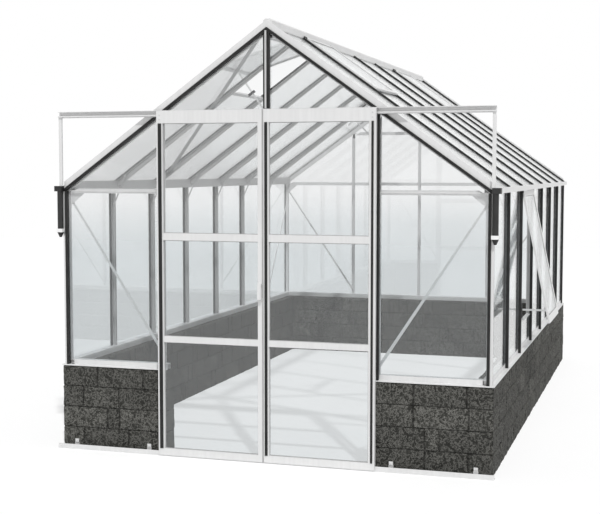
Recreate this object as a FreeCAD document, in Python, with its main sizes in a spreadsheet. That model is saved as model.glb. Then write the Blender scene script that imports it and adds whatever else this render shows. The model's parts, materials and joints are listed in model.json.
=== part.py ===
import FreeCAD, Part
import math
import operator
import os
import Sketcher
from FreeCAD import Placement, Rotation, Vector

# A greenhouse: an aluminium glazing frame on a low block wall, with two sliding doors,
# four roof vents and one side window. The front faces -Y, the ridge runs along Y, +Z is up.
# The origin is on the ground, in the middle of the doorway, under the bottom door track.

# Driving dimensions, in millimetres and degrees
SIZES = {
    "half_width": 1315, "wall_length": 4400, "wall_front": 30, "wall_thick": 140, "door_half": 630,
    "course_height": 125.5, "block_long": 300, "block_mid": 235, "block_short": 80,
    "frame_inset": 3, "glass_thick": 4, "pane_gap": 1,
    "strip_thick": 24, "strip_half": 7.5, "leaf_strip_thick": 5,
    "bar_depth": 39, "nose_half": 3, "flange_half": 14, "flange_thick": 3, "web_half": 2,
    "channel_half": 9, "channel_depth": 8, "slot_half": 4, "profile_wall": 3,
    "corner_nose": 10, "bead_out": 13, "bead_in": 2, "rafter_bead": 10, "rafter_nose": 18, "rafter_depth": 57,
    "king_out": 40, "sill_height": 35, "sill_inner": 45, "sill_lip": 7, "sill_set": 1,
    "post_height": 1023, "roof_angle": 35.5, "roof_lift": 32, "eaves_depth": 48, "eaves_proud": 4,
    "gutter_width": 32, "gutter_height": 32, "gutter_lip": 7, "eaves_overhang": 12,
    "ridge_half": 20, "ridge_drop": 70, "cap_seat": 5, "cap_half": 26, "cap_height": 36, "cap_bevel": 10,
    "rear_post": 626, "jamb_post": 655, "tie_half": 14, "tie_depth": 30,
    "leaf_reach": 656, "leaf_front": 22, "leaf_depth": 26, "leaf_gap": 1, "leaf_bottom": 6, "leaf_top": 2031,
    "header_rise": 7, "header_height": 53, "header_lap": 14,
    "stile_width": 38, "meeting_width": 32, "top_rail": 73, "bottom_rail": 41,
    "low_rail": 680, "low_rail_height": 35, "high_rail": 1280, "high_rail_height": 41,
    "track_inset": 5, "track_back": 33, "track_front": 8, "track_wall": 4, "track_height": 37,
    "track_ledge": 9, "floor_track_half": 1325, "fin_height": 28,
    "roller_radius": 10, "roller_width": 10, "axle_radius": 4, "run_gap": 0.3, "pin_gap": 0.3,
    "seat_gap": 0.1,
    "vent_length": 550, "vent_rail": 20, "vent_foot_rail": 32, "sash_half": 6, "sash_lift": 8, "sash_head": 5,
    "groove_depth": 8, "lug_gap": 1, "upstand": 5, "hinge_pin": 2.5, "lug_thick": 6, "vent_open": 18,
    "window_drop": 862, "window_rail": 34, "window_foot_rail": 46, "window_stile": 30, "window_open": 12,
    "stay_width": 12, "stay_thick": 3, "vent_stay": 310, "window_stay": 330,
    "pipe_radius": 17.5, "pipe_wall": 2, "pipe_drop": 246, "brace_width": 18, "plate_thick": 3,
}
COURSES = 4
SIDE_BAYS = 7
VENT_BAYS = (1, 5)
WINDOW_BAY = 2

doc = FreeCAD.newDocument("greenhouse")
sheet = doc.addObject("Spreadsheet::Sheet", "Sizes")
for row, (alias, number) in enumerate(SIZES.items(), start=1):
    sheet.set(f"A{row}", alias)
    sheet.set(f"B{row}", str(number))
    sheet.setAlias(f"B{row}", alias)
doc.recompute()

OPERATIONS = {"+": operator.add, "-": operator.sub, "*": operator.mul, "/": operator.truediv}


class Dim:
    """A size: its number, and the expression that ties it to the sheet."""

    def __init__(self, value, text):
        self.value = float(value)
        self.text = text

    def __float__(self):
        return self.value

    def __add__(self, other):
        return combine(self, "+", other)

    def __radd__(self, other):
        return combine(other, "+", self)

    def __sub__(self, other):
        return combine(self, "-", other)

    def __rsub__(self, other):
        return combine(other, "-", self)

    def __mul__(self, other):
        return combine(self, "*", other)

    def __rmul__(self, other):
        return combine(other, "*", self)

    def __truediv__(self, other):
        return combine(self, "/", other)

    def __rtruediv__(self, other):
        return combine(other, "/", self)

    def __neg__(self):
        return combine(0, "-", self)


def dim(size):
    return size if isinstance(size, Dim) else Dim(size, f"({float(size)})")


def combine(left, sign, right):
    first = dim(left)
    second = dim(right)
    return Dim(OPERATIONS[sign](first.value, second.value), f"({first.text} {sign} {second.text})")


class Sizes:
    """The sheet's cells by name."""

    def __init__(self):
        for name in SIZES:
            setattr(self, name, Dim(sheet.get(name), f"Sizes.{name}"))


s = Sizes()


# Places worked out from the driving dimensions

wall_top = COURSES * s.course_height
wall_back = s.wall_front + s.wall_length
sill_top = wall_top + s.sill_height
lip_top = wall_top + s.sill_lip
eaves_z = sill_top + s.post_height
glass_x = s.half_width - s.frame_inset - s.strip_thick
glass_front = s.wall_front + s.frame_inset + s.strip_thick
glass_rear = wall_back - s.frame_inset - s.strip_thick
middle_y = (s.wall_front + wall_back) / 2
bay = (glass_rear - glass_front) / SIDE_BAYS
pane_edge = s.nose_half + s.pane_gap
corner_edge = s.corner_nose + s.pane_gap
pitch = math.radians(float(s.roof_angle))
slope = Dim(math.tan(pitch), "tan(Sizes.roof_angle)")
secant = Dim(1 / math.cos(pitch), "(1 / cos(Sizes.roof_angle))")
eaves_face = glass_x - s.eaves_depth
gutter_x = glass_x + s.eaves_proud
roof_end = glass_x + s.eaves_overhang
track_half = s.half_width - s.track_inset
DOWN_SLOPE = Vector(math.cos(pitch), 0, -math.sin(pitch))
AXIS = {"X": Vector(1, 0, 0), "Y": Vector(0, 1, 0), "Z": Vector(0, 0, 1)}
PLANES = {
    "XY": Rotation(),
    "XZ": Rotation(AXIS["X"], 90),
    "YZ": Rotation(Vector(1, 1, 1), 120),
}


def roof_z(x, proud=0):
    """Height of the roof glass's outer face at x, or of a plane that stands proud of it."""
    return eaves_z + s.roof_lift + (glass_x - x) * slope + proud * secant


def roof_x(z, proud=0):
    """Distance from the middle plane at which that roof plane has the height z."""
    return glass_x - (z - eaves_z - s.roof_lift - proud * secant) / slope


def bar_y(index):
    """Middle of a side bar; 0 and SIDE_BAYS are the two gable planes."""
    return glass_front + index * bay


def roof_point(down, proud):
    """Point on the right slope, from the apex down the slope and proud of the glass."""
    x = down * math.cos(pitch) + proud * math.sin(pitch)
    z = float(roof_z(0)) - down * math.sin(pitch) + proud * math.cos(pitch)
    return (x, z)


# Makers of document objects

def bind(item, prop, size):
    setattr(item, prop, float(size))
    if isinstance(size, Dim):
        item.setExpression(prop, size.text)


def place(item, base, turn=Rotation()):
    item.Placement = Placement(Vector(*(float(value) for value in base)), turn)
    return item


def box(name, base, sizes):
    block = doc.addObject("Part::Box", name)
    for prop, size in zip(("Length", "Width", "Height"), sizes):
        bind(block, prop, size)
    return place(block, base)


def add_loop(sketch, corners):
    """Closed outline whose corners are tied to the sheet."""
    first = sketch.GeometryCount
    points = [Vector(float(across), float(up), 0) for across, up in corners]
    ends = points[1:] + points[:1]
    sketch.addGeometry([Part.LineSegment(start, end) for start, end in zip(points, ends)])
    for index, corner in enumerate(corners):
        line = first + index
        following = first + (index + 1) % len(corners)
        sketch.addConstraint(Sketcher.Constraint("Coincident", line, 2, following, 1))
        for kind, size in zip(("DistanceX", "DistanceY"), corner):
            tie = sketch.addConstraint(Sketcher.Constraint(kind, -1, 1, line, 1, float(size)))
            if isinstance(size, Dim):
                sketch.setExpression(f"Constraints[{tie}]", size.text)


def prism(name, plane, base, loops, along, length, turn=Rotation()):
    """Outline on a plane through base, extruded along a direction."""
    sketch = doc.addObject("Sketcher::SketchObject", f"{name}_outline")
    for loop in loops:
        add_loop(sketch, loop)
    place(sketch, base, turn * PLANES[plane])
    solid = doc.addObject("Part::Extrusion", name)
    solid.Base = sketch
    solid.DirMode = "Custom"
    solid.Dir = turn.multVec(along)
    solid.FaceMakerClass = "Part::FaceMakerBullseye"
    solid.Solid = True
    bind(solid, "LengthFwd", length)
    return solid


def cylinder(name, base, direction, radius, height):
    rod = doc.addObject("Part::Cylinder", name)
    bind(rod, "Radius", radius)
    bind(rod, "Height", height)
    return place(rod, base, Rotation(AXIS["Z"], direction))


def cut(name, body, tool):
    result = doc.addObject("Part::Cut", name)
    result.Base = body
    result.Tool = tool
    return result


def fuse(name, pieces):
    result = doc.addObject("Part::MultiFuse", name)
    result.Shapes = pieces
    return result


def copy_of(item, base, turn=Rotation()):
    link = doc.addObject("App::Link", f"{item.Name}_copy")
    link.LinkedObject = item
    link.LinkTransform = True
    return place(link, base, turn)


def half_turned(item):
    """The same piece at the opposite side and end of the building."""
    return copy_of(item, (0, 2 * middle_y, 0), Rotation(AXIS["Z"], 180))


def with_turned(pieces):
    return pieces + [half_turned(piece) for piece in pieces]


nodes = []


def node(label, pieces):
    group = doc.addObject("Part::Compound", label)
    group.Label = label
    group.Links = pieces
    nodes.append(group)


# Sections shared by several pieces

def symmetric(half):
    """Closed outline from its right half."""
    return half + [(-across, out) for across, out in reversed(half)]


def rectangle(low, high):
    return [(low[0], low[1]), (high[0], low[1]), (high[0], high[1]), (low[0], high[1])]


def bar_section():
    """Glazing bar: nose between two panes, flange behind them, web and inner bolt channel."""
    seat = -s.glass_thick
    back = -s.bar_depth
    lip = s.web_half
    channel = back + s.channel_depth
    return symmetric([
        (s.nose_half, dim(0)), (s.nose_half, seat),
        (s.flange_half, seat), (s.flange_half, seat - s.flange_thick),
        (s.web_half, seat - s.flange_thick), (s.web_half, channel),
        (s.channel_half, channel), (s.channel_half, back),
        (s.slot_half, back), (s.slot_half, back + lip),
        (s.channel_half - lip, back + lip), (s.channel_half - lip, channel - lip),
    ])


def strip_section(low, high, thick=s.strip_thick):
    """Black cap strip between two places across a bar."""
    return rectangle((low, dim(0)), (high, thick))


def grooved_section(width, half_depth):
    """Sash section from its outer edge inwards, with the glazing groove in its inner edge."""
    half_glass = s.glass_thick / 2
    bottom = width - s.groove_depth
    return [
        (dim(0), -half_depth), (width, -half_depth), (width, -half_glass), (bottom, -half_glass),
        (bottom, half_glass), (width, half_glass), (width, half_depth), (dim(0), half_depth),
    ]


# Block wall

def course_lengths(total, start):
    """Block lengths along one course, closed by a block cut to fit."""
    kinds = (s.block_long, s.block_short, s.block_mid)
    lengths = []
    left = total
    while float(left) > float(s.block_long + s.block_short):
        length = kinds[(start + len(lengths)) % len(kinds)]
        lengths.append(length)
        left = left - length
    return lengths + [left]


def block_run(name, corner, along_x, total, course):
    blocks = []
    x, y = (float(value) for value in corner)
    z = float(course * s.course_height)
    for number, length in enumerate(course_lengths(total, 2 * (course // 2))):
        sizes = (length, s.wall_thick, s.course_height)
        if not along_x:
            sizes = (s.wall_thick, length, s.course_height)
        blocks.append(box(f"{name}_{course}_{number}", (x, y, z), sizes))
        x += float(length) * along_x
        y += float(length) * (not along_x)
    return blocks


def block_walls():
    """Courses whose corners lap: odd ones run through at the front and rear, even ones at the sides."""
    blocks = []
    for course in range(COURSES):
        lap = s.wall_thick * (course % 2)
        step = s.wall_thick - lap
        wing = s.half_width - step - s.door_half
        for end in (s.wall_front, wall_back - s.wall_thick):
            name = "front" if end is s.wall_front else "rear"
            if name == "front":
                blocks += block_run("front_left", (step - s.half_width, end), True, wing, course)
                blocks += block_run("front_right", (s.door_half, end), True, wing, course)
            else:
                blocks += block_run(name, (step - s.half_width, end), True, 2 * (s.half_width - step), course)
        for x in (-s.half_width, s.half_width - s.wall_thick):
            name = "left" if float(x) < 0 else "right"
            blocks += block_run(name, (x, s.wall_front + lap), False, s.wall_length - 2 * lap, course)
    node("wall_blocks", blocks)


# Base sills

def sill_section():
    """Sill open below: X outwards from the glass plane, Y up."""
    wall = s.profile_wall
    inner = -s.sill_inner
    under = s.sill_height - wall
    return [
        (inner, dim(0)), (inner + wall, dim(0)), (inner + wall, under), (-wall, under), (-wall, dim(0)),
        (dim(0), dim(0)), (dim(0), s.sill_height), (inner, s.sill_height),
    ]


def base_sills():
    """Hollow sills with an outer lip that covers the wall's top edge."""
    section = sill_section()
    facing_front = [(-out, up) for out, up in section]
    lip = s.frame_inset + s.strip_thick - s.sill_set
    long = glass_rear - glass_front
    body = prism("sill_side_body", "XZ", (glass_x, glass_front, wall_top), [section], AXIS["Y"], long)
    edge = box("sill_side_lip", (glass_x, glass_front - lip, wall_top), (lip, long + 2 * lip, s.sill_lip))
    sills = with_turned([fuse("sill_side", [body, edge])])
    inside = glass_x - s.sill_inner
    wing = inside - s.door_half
    lip_wing = glass_x - s.door_half
    runs = (
        ("front_left", facing_front, glass_front, -inside, -glass_x, wing, lip_wing),
        ("front_right", facing_front, glass_front, s.door_half, s.door_half, wing, lip_wing),
        ("rear", section, glass_rear, -inside, -glass_x, 2 * inside, 2 * glass_x),
    )
    for name, outline, y, body_x, lip_x, body_length, lip_length in runs:
        lip_y = y if name == "rear" else y - lip
        body = prism(f"sill_{name}_body", "YZ", (body_x, y, wall_top), [outline], AXIS["X"], body_length)
        edge = box(f"sill_{name}_lip", (lip_x, lip_y, wall_top), (lip_length, lip, s.sill_lip))
        sills.append(fuse(f"sill_{name}", [body, edge]))
    node("base_sills", sills)


# Posts

def corner_section(mirror):
    nose = s.corner_nose
    seat = s.glass_thick
    depth = s.bar_depth
    wall = seat + s.profile_wall
    core = depth - s.profile_wall
    outer = [
        (dim(0), dim(0)), (nose, dim(0)), (nose, seat), (depth, seat),
        (depth, depth), (seat, depth), (seat, nose), (dim(0), nose),
    ]
    return [[(-mirror * p, q) for p, q in loop] for loop in (outer, rectangle((wall, wall), (core, core)))]


def bead_section(mirror):
    """Square bead outside the corner, between the strips of the two walls."""
    out = -s.bead_out
    inner = s.bead_in
    corners = [(out, out), (inner, out), (inner, dim(0)), (dim(0), dim(0)), (dim(0), inner), (out, inner)]
    return [[(-mirror * p, q) for p, q in corners]]


def corner_posts():
    front = []
    for mirror in (-1, 1):
        tag = mirror + 1
        x = mirror * glass_x
        core = prism(f"corner_core_{tag}", "XY", (x, glass_front, sill_top), corner_section(mirror),
                     AXIS["Z"], s.post_height)
        bead = prism(f"corner_bead_{tag}", "XY", (x, glass_front, lip_top), bead_section(mirror),
                     AXIS["Z"], eaves_z - lip_top)
        front.append(fuse(f"corner_post_{tag}", [core, bead]))
    node("corner_posts", with_turned(front))


def side_posts():
    section = [(out, across) for across, out in bar_section()]
    first = prism("side_post", "XY", (glass_x, bar_y(1), sill_top), [section], AXIS["Z"], s.post_height)
    right = [first] + [copy_of(first, (0, step * bay, 0)) for step in range(1, SIDE_BAYS - 1)]
    node("side_posts", with_turned(right))


def post_top(x):
    """Height at which a gable post's outer flange edge meets the underside of the rafter."""
    return roof_z(x + s.flange_half, -s.rafter_depth)


def gable_post(name, x, front, bottom, top):
    outward = -1 if front else 1
    y = glass_front if front else glass_rear
    section = [(across, outward * out) for across, out in bar_section()]
    return prism(name, "XY", (x, y, bottom), [section], AXIS["Z"], top - bottom)


def header_top():
    return s.leaf_top + s.header_rise


def king_post():
    """Short post over the door header, with a fin that stands out between its two strips."""
    bottom = header_top()
    bar = gable_post("king_bar", 0, True, bottom, post_top(0))
    top = roof_z(s.nose_half, -dim(RAFTER_STRIP[1]))
    fin = box("king_fin", (-s.nose_half, glass_front - s.king_out, bottom),
              (2 * s.nose_half, s.king_out, top - bottom))
    return fuse("king_post", [bar, fin])


def gable_posts():
    posts = [
        gable_post("jamb_left", -s.jamb_post, True, sill_top, post_top(s.jamb_post)),
        gable_post("jamb_right", s.jamb_post, True, sill_top, post_top(s.jamb_post)),
        king_post(),
        gable_post("rear_post_left", -s.rear_post, False, sill_top, post_top(s.rear_post)),
        gable_post("rear_post_middle", 0, False, sill_top, post_top(0)),
        gable_post("rear_post_right", s.rear_post, False, sill_top, post_top(s.rear_post)),
    ]
    node("gable_posts", posts)


# Eaves, gutters and ridge

def eaves_beams():
    wall = s.profile_wall
    seat = -s.glass_thick
    drop = seat - wall
    outer = [
        (eaves_face, eaves_z), (gutter_x, eaves_z),
        (gutter_x, roof_z(gutter_x, seat)), (eaves_face, roof_z(eaves_face, seat)),
    ]
    inner = [
        (eaves_face + wall, eaves_z + wall), (gutter_x - wall, eaves_z + wall),
        (gutter_x - wall, roof_z(gutter_x - wall, drop)),
        (eaves_face + wall, roof_z(eaves_face + wall, drop)),
    ]
    start = glass_front + s.bar_depth
    beam = prism("eaves_beam", "XZ", (0, start, 0), [outer, inner], AXIS["Y"],
                 glass_rear - s.bar_depth - start)
    node("eaves_beams", with_turned([beam]))


GUTTER_CAP = 4


def gutters():
    wall = s.profile_wall
    back = s.gutter_height * 3 / 8
    wide = s.gutter_width
    high = s.gutter_height
    lip = wide - s.gutter_lip
    section = [
        (dim(0), dim(0)), (wide, dim(0)), (wide, high), (lip, high), (lip, high - wall),
        (wide - wall, high - wall), (wide - wall, wall), (wall, wall), (wall, back), (dim(0), back),
    ]
    pieces = []
    for side in (-1, 1):
        mirrored = [(side * across, up) for across, up in section]
        pieces.append(prism(f"gutter_{side + 1}", "XZ", (side * gutter_x, glass_front, eaves_z), [mirrored],
                            AXIS["Y"], glass_rear - glass_front))
        low = float(gutter_x) if side > 0 else -float(gutter_x + s.gutter_width)
        pieces.append(box(f"gutter_cap_{side + 1}", (low, glass_rear, eaves_z),
                          (s.gutter_width, GUTTER_CAP, s.gutter_height)))
    node("gutters", pieces)


PIPE_OUT = 22
PIPE_GAP = 1.5
OUTLET_RIM = 2
OUTLET_REACH = 12
CLIP_HEIGHT = 21
CLIP_RIM = 2.5
SPOUT_TOP = 20
SPOUT_FOOT = 7
SPOUT_DROP = 30


def rain_goods():
    """Outlet box on each front gutter end, with a downpipe, its clip and a tapered spout."""
    radius = s.pipe_radius
    bead_front = glass_front - s.bead_out
    x = glass_x + PIPE_OUT
    y = bead_front - PIPE_GAP - radius
    foot = eaves_z - s.pipe_drop
    box_front = y - radius - OUTLET_RIM
    box_width = 2 * radius + OUTLET_REACH
    clip_half = radius + CLIP_RIM
    outlets = []
    pipes = []
    clips = []
    for side in (-1, 1):
        tag = side + 1
        bottom = (side * x, y, foot)
        box_x = x - radius if side > 0 else radius - x - box_width
        outlets.append(box(f"outlet_{tag}", (box_x, box_front, eaves_z),
                           (box_width, glass_front - box_front, s.gutter_height)))
        tube = cylinder(f"pipe_outer_{tag}", bottom, AXIS["Z"], radius, s.pipe_drop)
        bore = cylinder(f"pipe_bore_{tag}", bottom, AXIS["Z"], radius - s.pipe_wall, s.pipe_drop)
        pipes.append(cut(f"downpipe_{tag}", tube, bore))
        pipes.append(spout(f"spout_{tag}", bottom))
        body = box(f"clip_body_{tag}", (side * x - clip_half, y - clip_half, foot),
                   (2 * clip_half, bead_front - y + clip_half, CLIP_HEIGHT))
        hole = cylinder(f"clip_hole_{tag}", bottom, AXIS["Z"], radius + s.pin_gap, CLIP_HEIGHT)
        clips.append(cut(f"pipe_clip_{tag}", body, hole))
    node("gutter_outlets", outlets)
    node("downpipes", pipes)
    node("pipe_clips", clips)


def spout(name, top):
    """Tapered mouth under the pipe."""
    cone = doc.addObject("Part::Cone", name)
    cone.Radius1 = SPOUT_FOOT
    cone.Radius2 = SPOUT_TOP
    cone.Height = SPOUT_DROP
    return place(cone, (top[0], top[1], top[2] - SPOUT_DROP))


def ridge():
    start = glass_front + s.bar_depth
    length = glass_rear - s.bar_depth - start
    low = roof_z(0) - s.ridge_drop
    wall = s.profile_wall
    crest = s.cap_seat
    shoulder = roof_z(s.ridge_half, crest)
    outer = [
        (-s.ridge_half, low), (s.ridge_half, low), (s.ridge_half, shoulder), (dim(0), roof_z(0, crest)),
        (-s.ridge_half, shoulder),
    ]
    core = s.ridge_half - wall
    inner = rectangle((-core, low + wall), (core, roof_z(core, -wall)))
    beam = prism("ridge_bar", "XZ", (0, start, 0), [outer, inner], AXIS["Y"], length)
    node("ridge_beam", [beam])
    top = roof_z(0) + s.cap_height
    half = s.cap_half
    seat = crest + s.seat_gap
    hat = [
        (half, roof_z(half, seat)), (half, top - s.cap_bevel), (half - s.cap_bevel, top),
        (s.cap_bevel - half, top), (-half, top - s.cap_bevel), (-half, roof_z(half, seat)),
        (dim(0), roof_z(0, seat)),
    ]
    cap_start = glass_front + s.bead_in + s.seat_gap
    cap = prism("ridge_hat", "XZ", (0, cap_start, 0), [hat], AXIS["Y"], 2 * (middle_y - cap_start))
    node("ridge_cap", [cap])


# Roof members

def rafter_section():
    """Gable rafter in its own depth and thickness: bead outside, rebates for both panes."""
    seat = s.glass_thick
    nose = s.rafter_nose
    deep = s.rafter_depth
    thick = s.bar_depth
    wall = seat + s.profile_wall
    crest = -s.strip_thick
    outer = [
        (crest, -s.bead_out), (s.rafter_bead, -s.bead_out), (s.rafter_bead, dim(0)), (nose, dim(0)),
        (nose, seat), (deep, seat), (deep, thick), (seat, thick), (seat, s.corner_nose),
        (dim(0), s.corner_nose), (dim(0), s.bead_in), (crest, s.bead_in),
    ]
    inner = rectangle((wall, wall), (deep - s.profile_wall, thick - s.profile_wall))
    return [[(q, -p * secant) for p, q in loop] for loop in (outer, inner)]


def gable_rafters():
    foot_depth = 2 * s.rafter_depth * secant
    rafters = []
    for side in (-1, 1):
        along = Vector(side * DOWN_SLOPE.x, 0, DOWN_SLOPE.z)
        length = gutter_x * secant
        beam = prism(f"rafter_beam_{side + 1}", "YZ", (0, glass_front, roof_z(0)), rafter_section(),
                     along, length)
        foot_x = -float(gutter_x) if side < 0 else 0
        foot = box(f"rafter_foot_{side + 1}", (foot_x, glass_front - s.bead_out, eaves_z - foot_depth),
                   (gutter_x, s.bar_depth + s.bead_out, foot_depth))
        rafters.append(cut(f"gable_rafter_{side + 1}", beam, foot))
    node("gable_rafters", with_turned(rafters))


def roof_bars():
    section = [(across, out * secant) for across, out in bar_section()]
    start = (s.ridge_half, bar_y(1), roof_z(s.ridge_half))
    first = prism("roof_bar", "YZ", start, [section], DOWN_SLOPE, (eaves_face - s.ridge_half) * secant)
    right = [first] + [copy_of(first, (0, step * bay, 0)) for step in range(1, SIDE_BAYS - 1)]
    node("roof_bars", with_turned(right))


def bay_span(index):
    """Lowest and highest y of the pane in a side or roof bay."""
    low = corner_edge if index == 0 else pane_edge
    high = corner_edge if index == SIDE_BAYS - 1 else pane_edge
    return (bar_y(index) + low, bar_y(index + 1) - high)


# Vent sills and the side window's sill carry the panes below them

SILL_UPSTAND = 4
SILL_LENGTH = 24
SILL_HEIGHT = 27
SILL_GAP = 1
VENT_CLEAR = 4
WINDOW_CLEAR = 2


def vent_foot():
    """Slope distance from the apex to the closed vent's lower edge."""
    return hinge_down() + float(s.vent_length)


def hinge_proud():
    return float(s.sash_lift + s.sash_half)


def hinge_down():
    """Slope distance from the apex to the vents' hinge axis, clear of the ridge cap."""
    reach = math.hypot(float(s.sash_half), float(s.sash_head))
    x = float(s.cap_half) + reach + VENT_CLEAR
    return (x - hinge_proud() * math.sin(pitch)) / math.cos(pitch)


def vent_sill_start():
    return vent_foot() - SILL_LENGTH - SILL_UPSTAND


def cross_sill(name, base, turn):
    """Bar between two glazing bars with an upstand that the sash closes over.

    Its own X runs down the glazing and its own Z points outwards from the glass's outer face.
    """
    seat = -s.glass_thick
    under = seat - s.flange_thick - SILL_GAP
    web = bay - 2 * s.web_half
    between = bay - 2 * (s.flange_half + SILL_GAP)
    low = prism(f"{name}_low", "XZ", base, [rectangle((0, -SILL_HEIGHT), (SILL_LENGTH, under))],
                AXIS["Y"], web, turn)
    shift = turn.multVec(Vector(0, float(web - between) / 2, 0))
    raised = Vector(*(float(value) for value in base)) + shift
    upper = [
        (SILL_UPSTAND, under), (SILL_LENGTH, under), (SILL_LENGTH, seat), (2 * SILL_UPSTAND, seat),
        (2 * SILL_UPSTAND, s.upstand), (SILL_UPSTAND, s.upstand),
    ]
    high = prism(f"{name}_high", "XZ", raised, [upper], AXIS["Y"], between, turn)
    return fuse(name, [low, high])


ON_SLOPE = Rotation(AXIS["Y"], float(s.roof_angle))
ON_SIDE = Rotation(AXIS["Y"], 90)


def window_sill_z():
    """Height of the top edge of the side window's sill."""
    return float(window_axis()[1] - s.window_drop) + SILL_LENGTH / 2


def cross_sills():
    sills = []
    for index in VENT_BAYS:
        x, z = roof_point(vent_sill_start(), 0)
        start = bar_y(index) + s.web_half
        sills.append(cross_sill(f"vent_sill_{index}", (x, start, z), ON_SLOPE))
    window = cross_sill("window_sill", (glass_x, bar_y(WINDOW_BAY) + s.web_half, window_sill_z()), ON_SIDE)
    node("cross_sills", with_turned(sills) + [window])


# Gable ties, header and braces

def tie_section():
    seat = s.glass_thick
    return symmetric([
        (s.nose_half, dim(0)), (s.nose_half, seat), (s.tie_half, seat), (s.tie_half, s.tie_depth),
    ])


def tie_z():
    """Middle height of the gable ties, level with the eaves."""
    return eaves_z + s.nose_half


def tie(name, low, high, z):
    """Rear tie between two posts."""
    section = [(-deep, up) for up, deep in tie_section()]
    return prism(name, "YZ", (low, glass_rear, z), [section], AXIS["X"], high - low)


def nearer(first, second):
    return first if float(first) < float(second) else second


def raked_tie(name, side, inner, z, front, stops):
    """Tie from a post to the rafter, its outer end cut to the rafter's slope or ending at an upright."""
    nose_stop, body_stop = stops
    layers = (
        ("nose", s.nose_half, s.rafter_nose, dim(0), s.glass_thick, nose_stop),
        ("body", s.tie_half, s.rafter_depth, s.glass_thick, s.tie_depth, body_stop),
    )
    pieces = []
    for layer, half, under, near, far, stop in layers:
        low = z - half
        high = z + half
        ends = [nearer(roof_x(up, -under), stop) for up in (low, high)]
        corners = [(inner, low), (ends[0], low), (ends[1], high), (inner, high)]
        y = glass_front + near if front else glass_rear - far
        outline = [(side * x, up) for x, up in corners]
        pieces.append(prism(f"{name}_{layer}", "XZ", (0, y, 0), [outline], AXIS["Y"], far - near))
    return fuse(name, pieces)


def transom_z():
    """Middle height of the rear transom, level with the door header."""
    return header_top() - s.tie_half + s.nose_half


def transom_stops():
    """Outer ends of the rear transom's nose and body, at the outer post where that stands as high."""
    passes_over = float(post_top(s.rear_post)) < float(transom_z() - s.tie_half)
    nose_stop = s.rear_post + s.nose_half if passes_over else s.rear_post - s.nose_half
    return (nose_stop, s.rear_post - s.flange_half)


def gable_ties():
    inside = s.rear_post - s.flange_half
    corner = (glass_x - s.corner_nose, glass_x - s.bar_depth)
    pieces = [
        tie("rear_tie_mid_left", -inside, -s.flange_half, tie_z()),
        tie("rear_tie_mid_right", s.flange_half, inside, tie_z()),
    ]
    for side, name in ((-1, "left"), (1, "right")):
        pieces += [
            raked_tie(f"front_tie_{name}", side, s.jamb_post + s.flange_half, tie_z(), True, corner),
            raked_tie(f"rear_tie_{name}", side, s.rear_post + s.flange_half, tie_z(), False, corner),
            raked_tie(f"transom_{name}", side, s.flange_half, transom_z(), False, transom_stops()),
        ]
    node("gable_ties", pieces)


def door_header():
    """Beam between the rafters or the jamb posts, with a front face that carries the top track."""
    top = header_top()
    low = top - s.header_height
    deep = s.rafter_depth
    jamb = s.jamb_post - s.flange_half
    wide = nearer(roof_x(low, -deep), jamb)
    narrow = nearer(roof_x(top, -deep), jamb)
    outline = [(-wide, low), (wide, low), (narrow, top), (-narrow, top)]
    main = prism("header_main", "XZ", (0, glass_front + s.glass_thick, 0), [outline], AXIS["Y"],
                 s.bar_depth - s.glass_thick)
    face_top = top - s.header_lap - s.pane_gap
    face = box("header_face", (-narrow, s.track_back, low),
               (2 * narrow, glass_front + s.glass_thick - s.track_back, face_top - low))
    node("door_header", [fuse("header", [main, face])])


def flat_bar(name, plane, depth, start, end, width, direction, lap):
    """Flat bar between two points of a plane, its ends running on past the bolts by lap."""
    run = (float(end[0] - start[0]), float(end[1] - start[1]))
    length = math.hypot(*run)
    along = (run[0] / length, run[1] / length)
    half = float(width) / 2
    side = (-along[1] * half, along[0] * half)
    first = [float(start[i]) - along[i] * lap for i in (0, 1)]
    last = [float(end[i]) + along[i] * lap for i in (0, 1)]
    corners = [
        (first[0] - side[0], first[1] - side[1]), (last[0] - side[0], last[1] - side[1]),
        (last[0] + side[0], last[1] + side[1]), (first[0] + side[0], first[1] + side[1]),
    ]
    return prism(name, plane, depth, [corners], direction, s.plate_thick)


BOLT_LAP = 9
BRACE_TOP_DROP = 45
SIDE_BRACE_DROP = 115
BRACE_FOOT_RISE = 42


def brace_ends(foot):
    """Bolt points of a wall brace: high on the corner post, low on the next post."""
    top = (glass_x - s.bar_depth * 2 / 3, eaves_z - BRACE_TOP_DROP)
    return (top, (foot, sill_top + BRACE_FOOT_RISE))


def wall_braces():
    braces = []
    gables = (
        (s.jamb_post, glass_front + s.bar_depth, 1), (s.rear_post, glass_rear - s.bar_depth, -1),
    )
    for foot, face, inward in gables:
        for side in (-1, 1):
            top, low = brace_ends(foot)
            start = (side * top[0], top[1])
            end = (side * low[0], low[1])
            name = f"brace_{'front' if inward > 0 else 'rear'}_{side + 1}"
            depth = face if inward > 0 else face - s.plate_thick
            braces.append(flat_bar(name, "XZ", (0, depth, 0), start, end, s.brace_width, AXIS["Y"], BOLT_LAP))
    rear_corner = glass_rear - s.bar_depth * 2 / 3
    for side in (-1, 1):
        start = (rear_corner, eaves_z - SIDE_BRACE_DROP)
        end = (bar_y(SIDE_BAYS - 1), sill_top + BRACE_FOOT_RISE)
        inner = glass_x - s.bar_depth - s.plate_thick
        face = inner if side > 0 else -inner - s.plate_thick
        name = f"brace_side_{side + 1}"
        braces.append(flat_bar(name, "YZ", (face, 0, 0), start, end, s.brace_width, AXIS["X"], BOLT_LAP))
    return braces


ROOF_BRACE_TOP = 90
ROOF_BRACE_FOOT = 60


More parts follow.
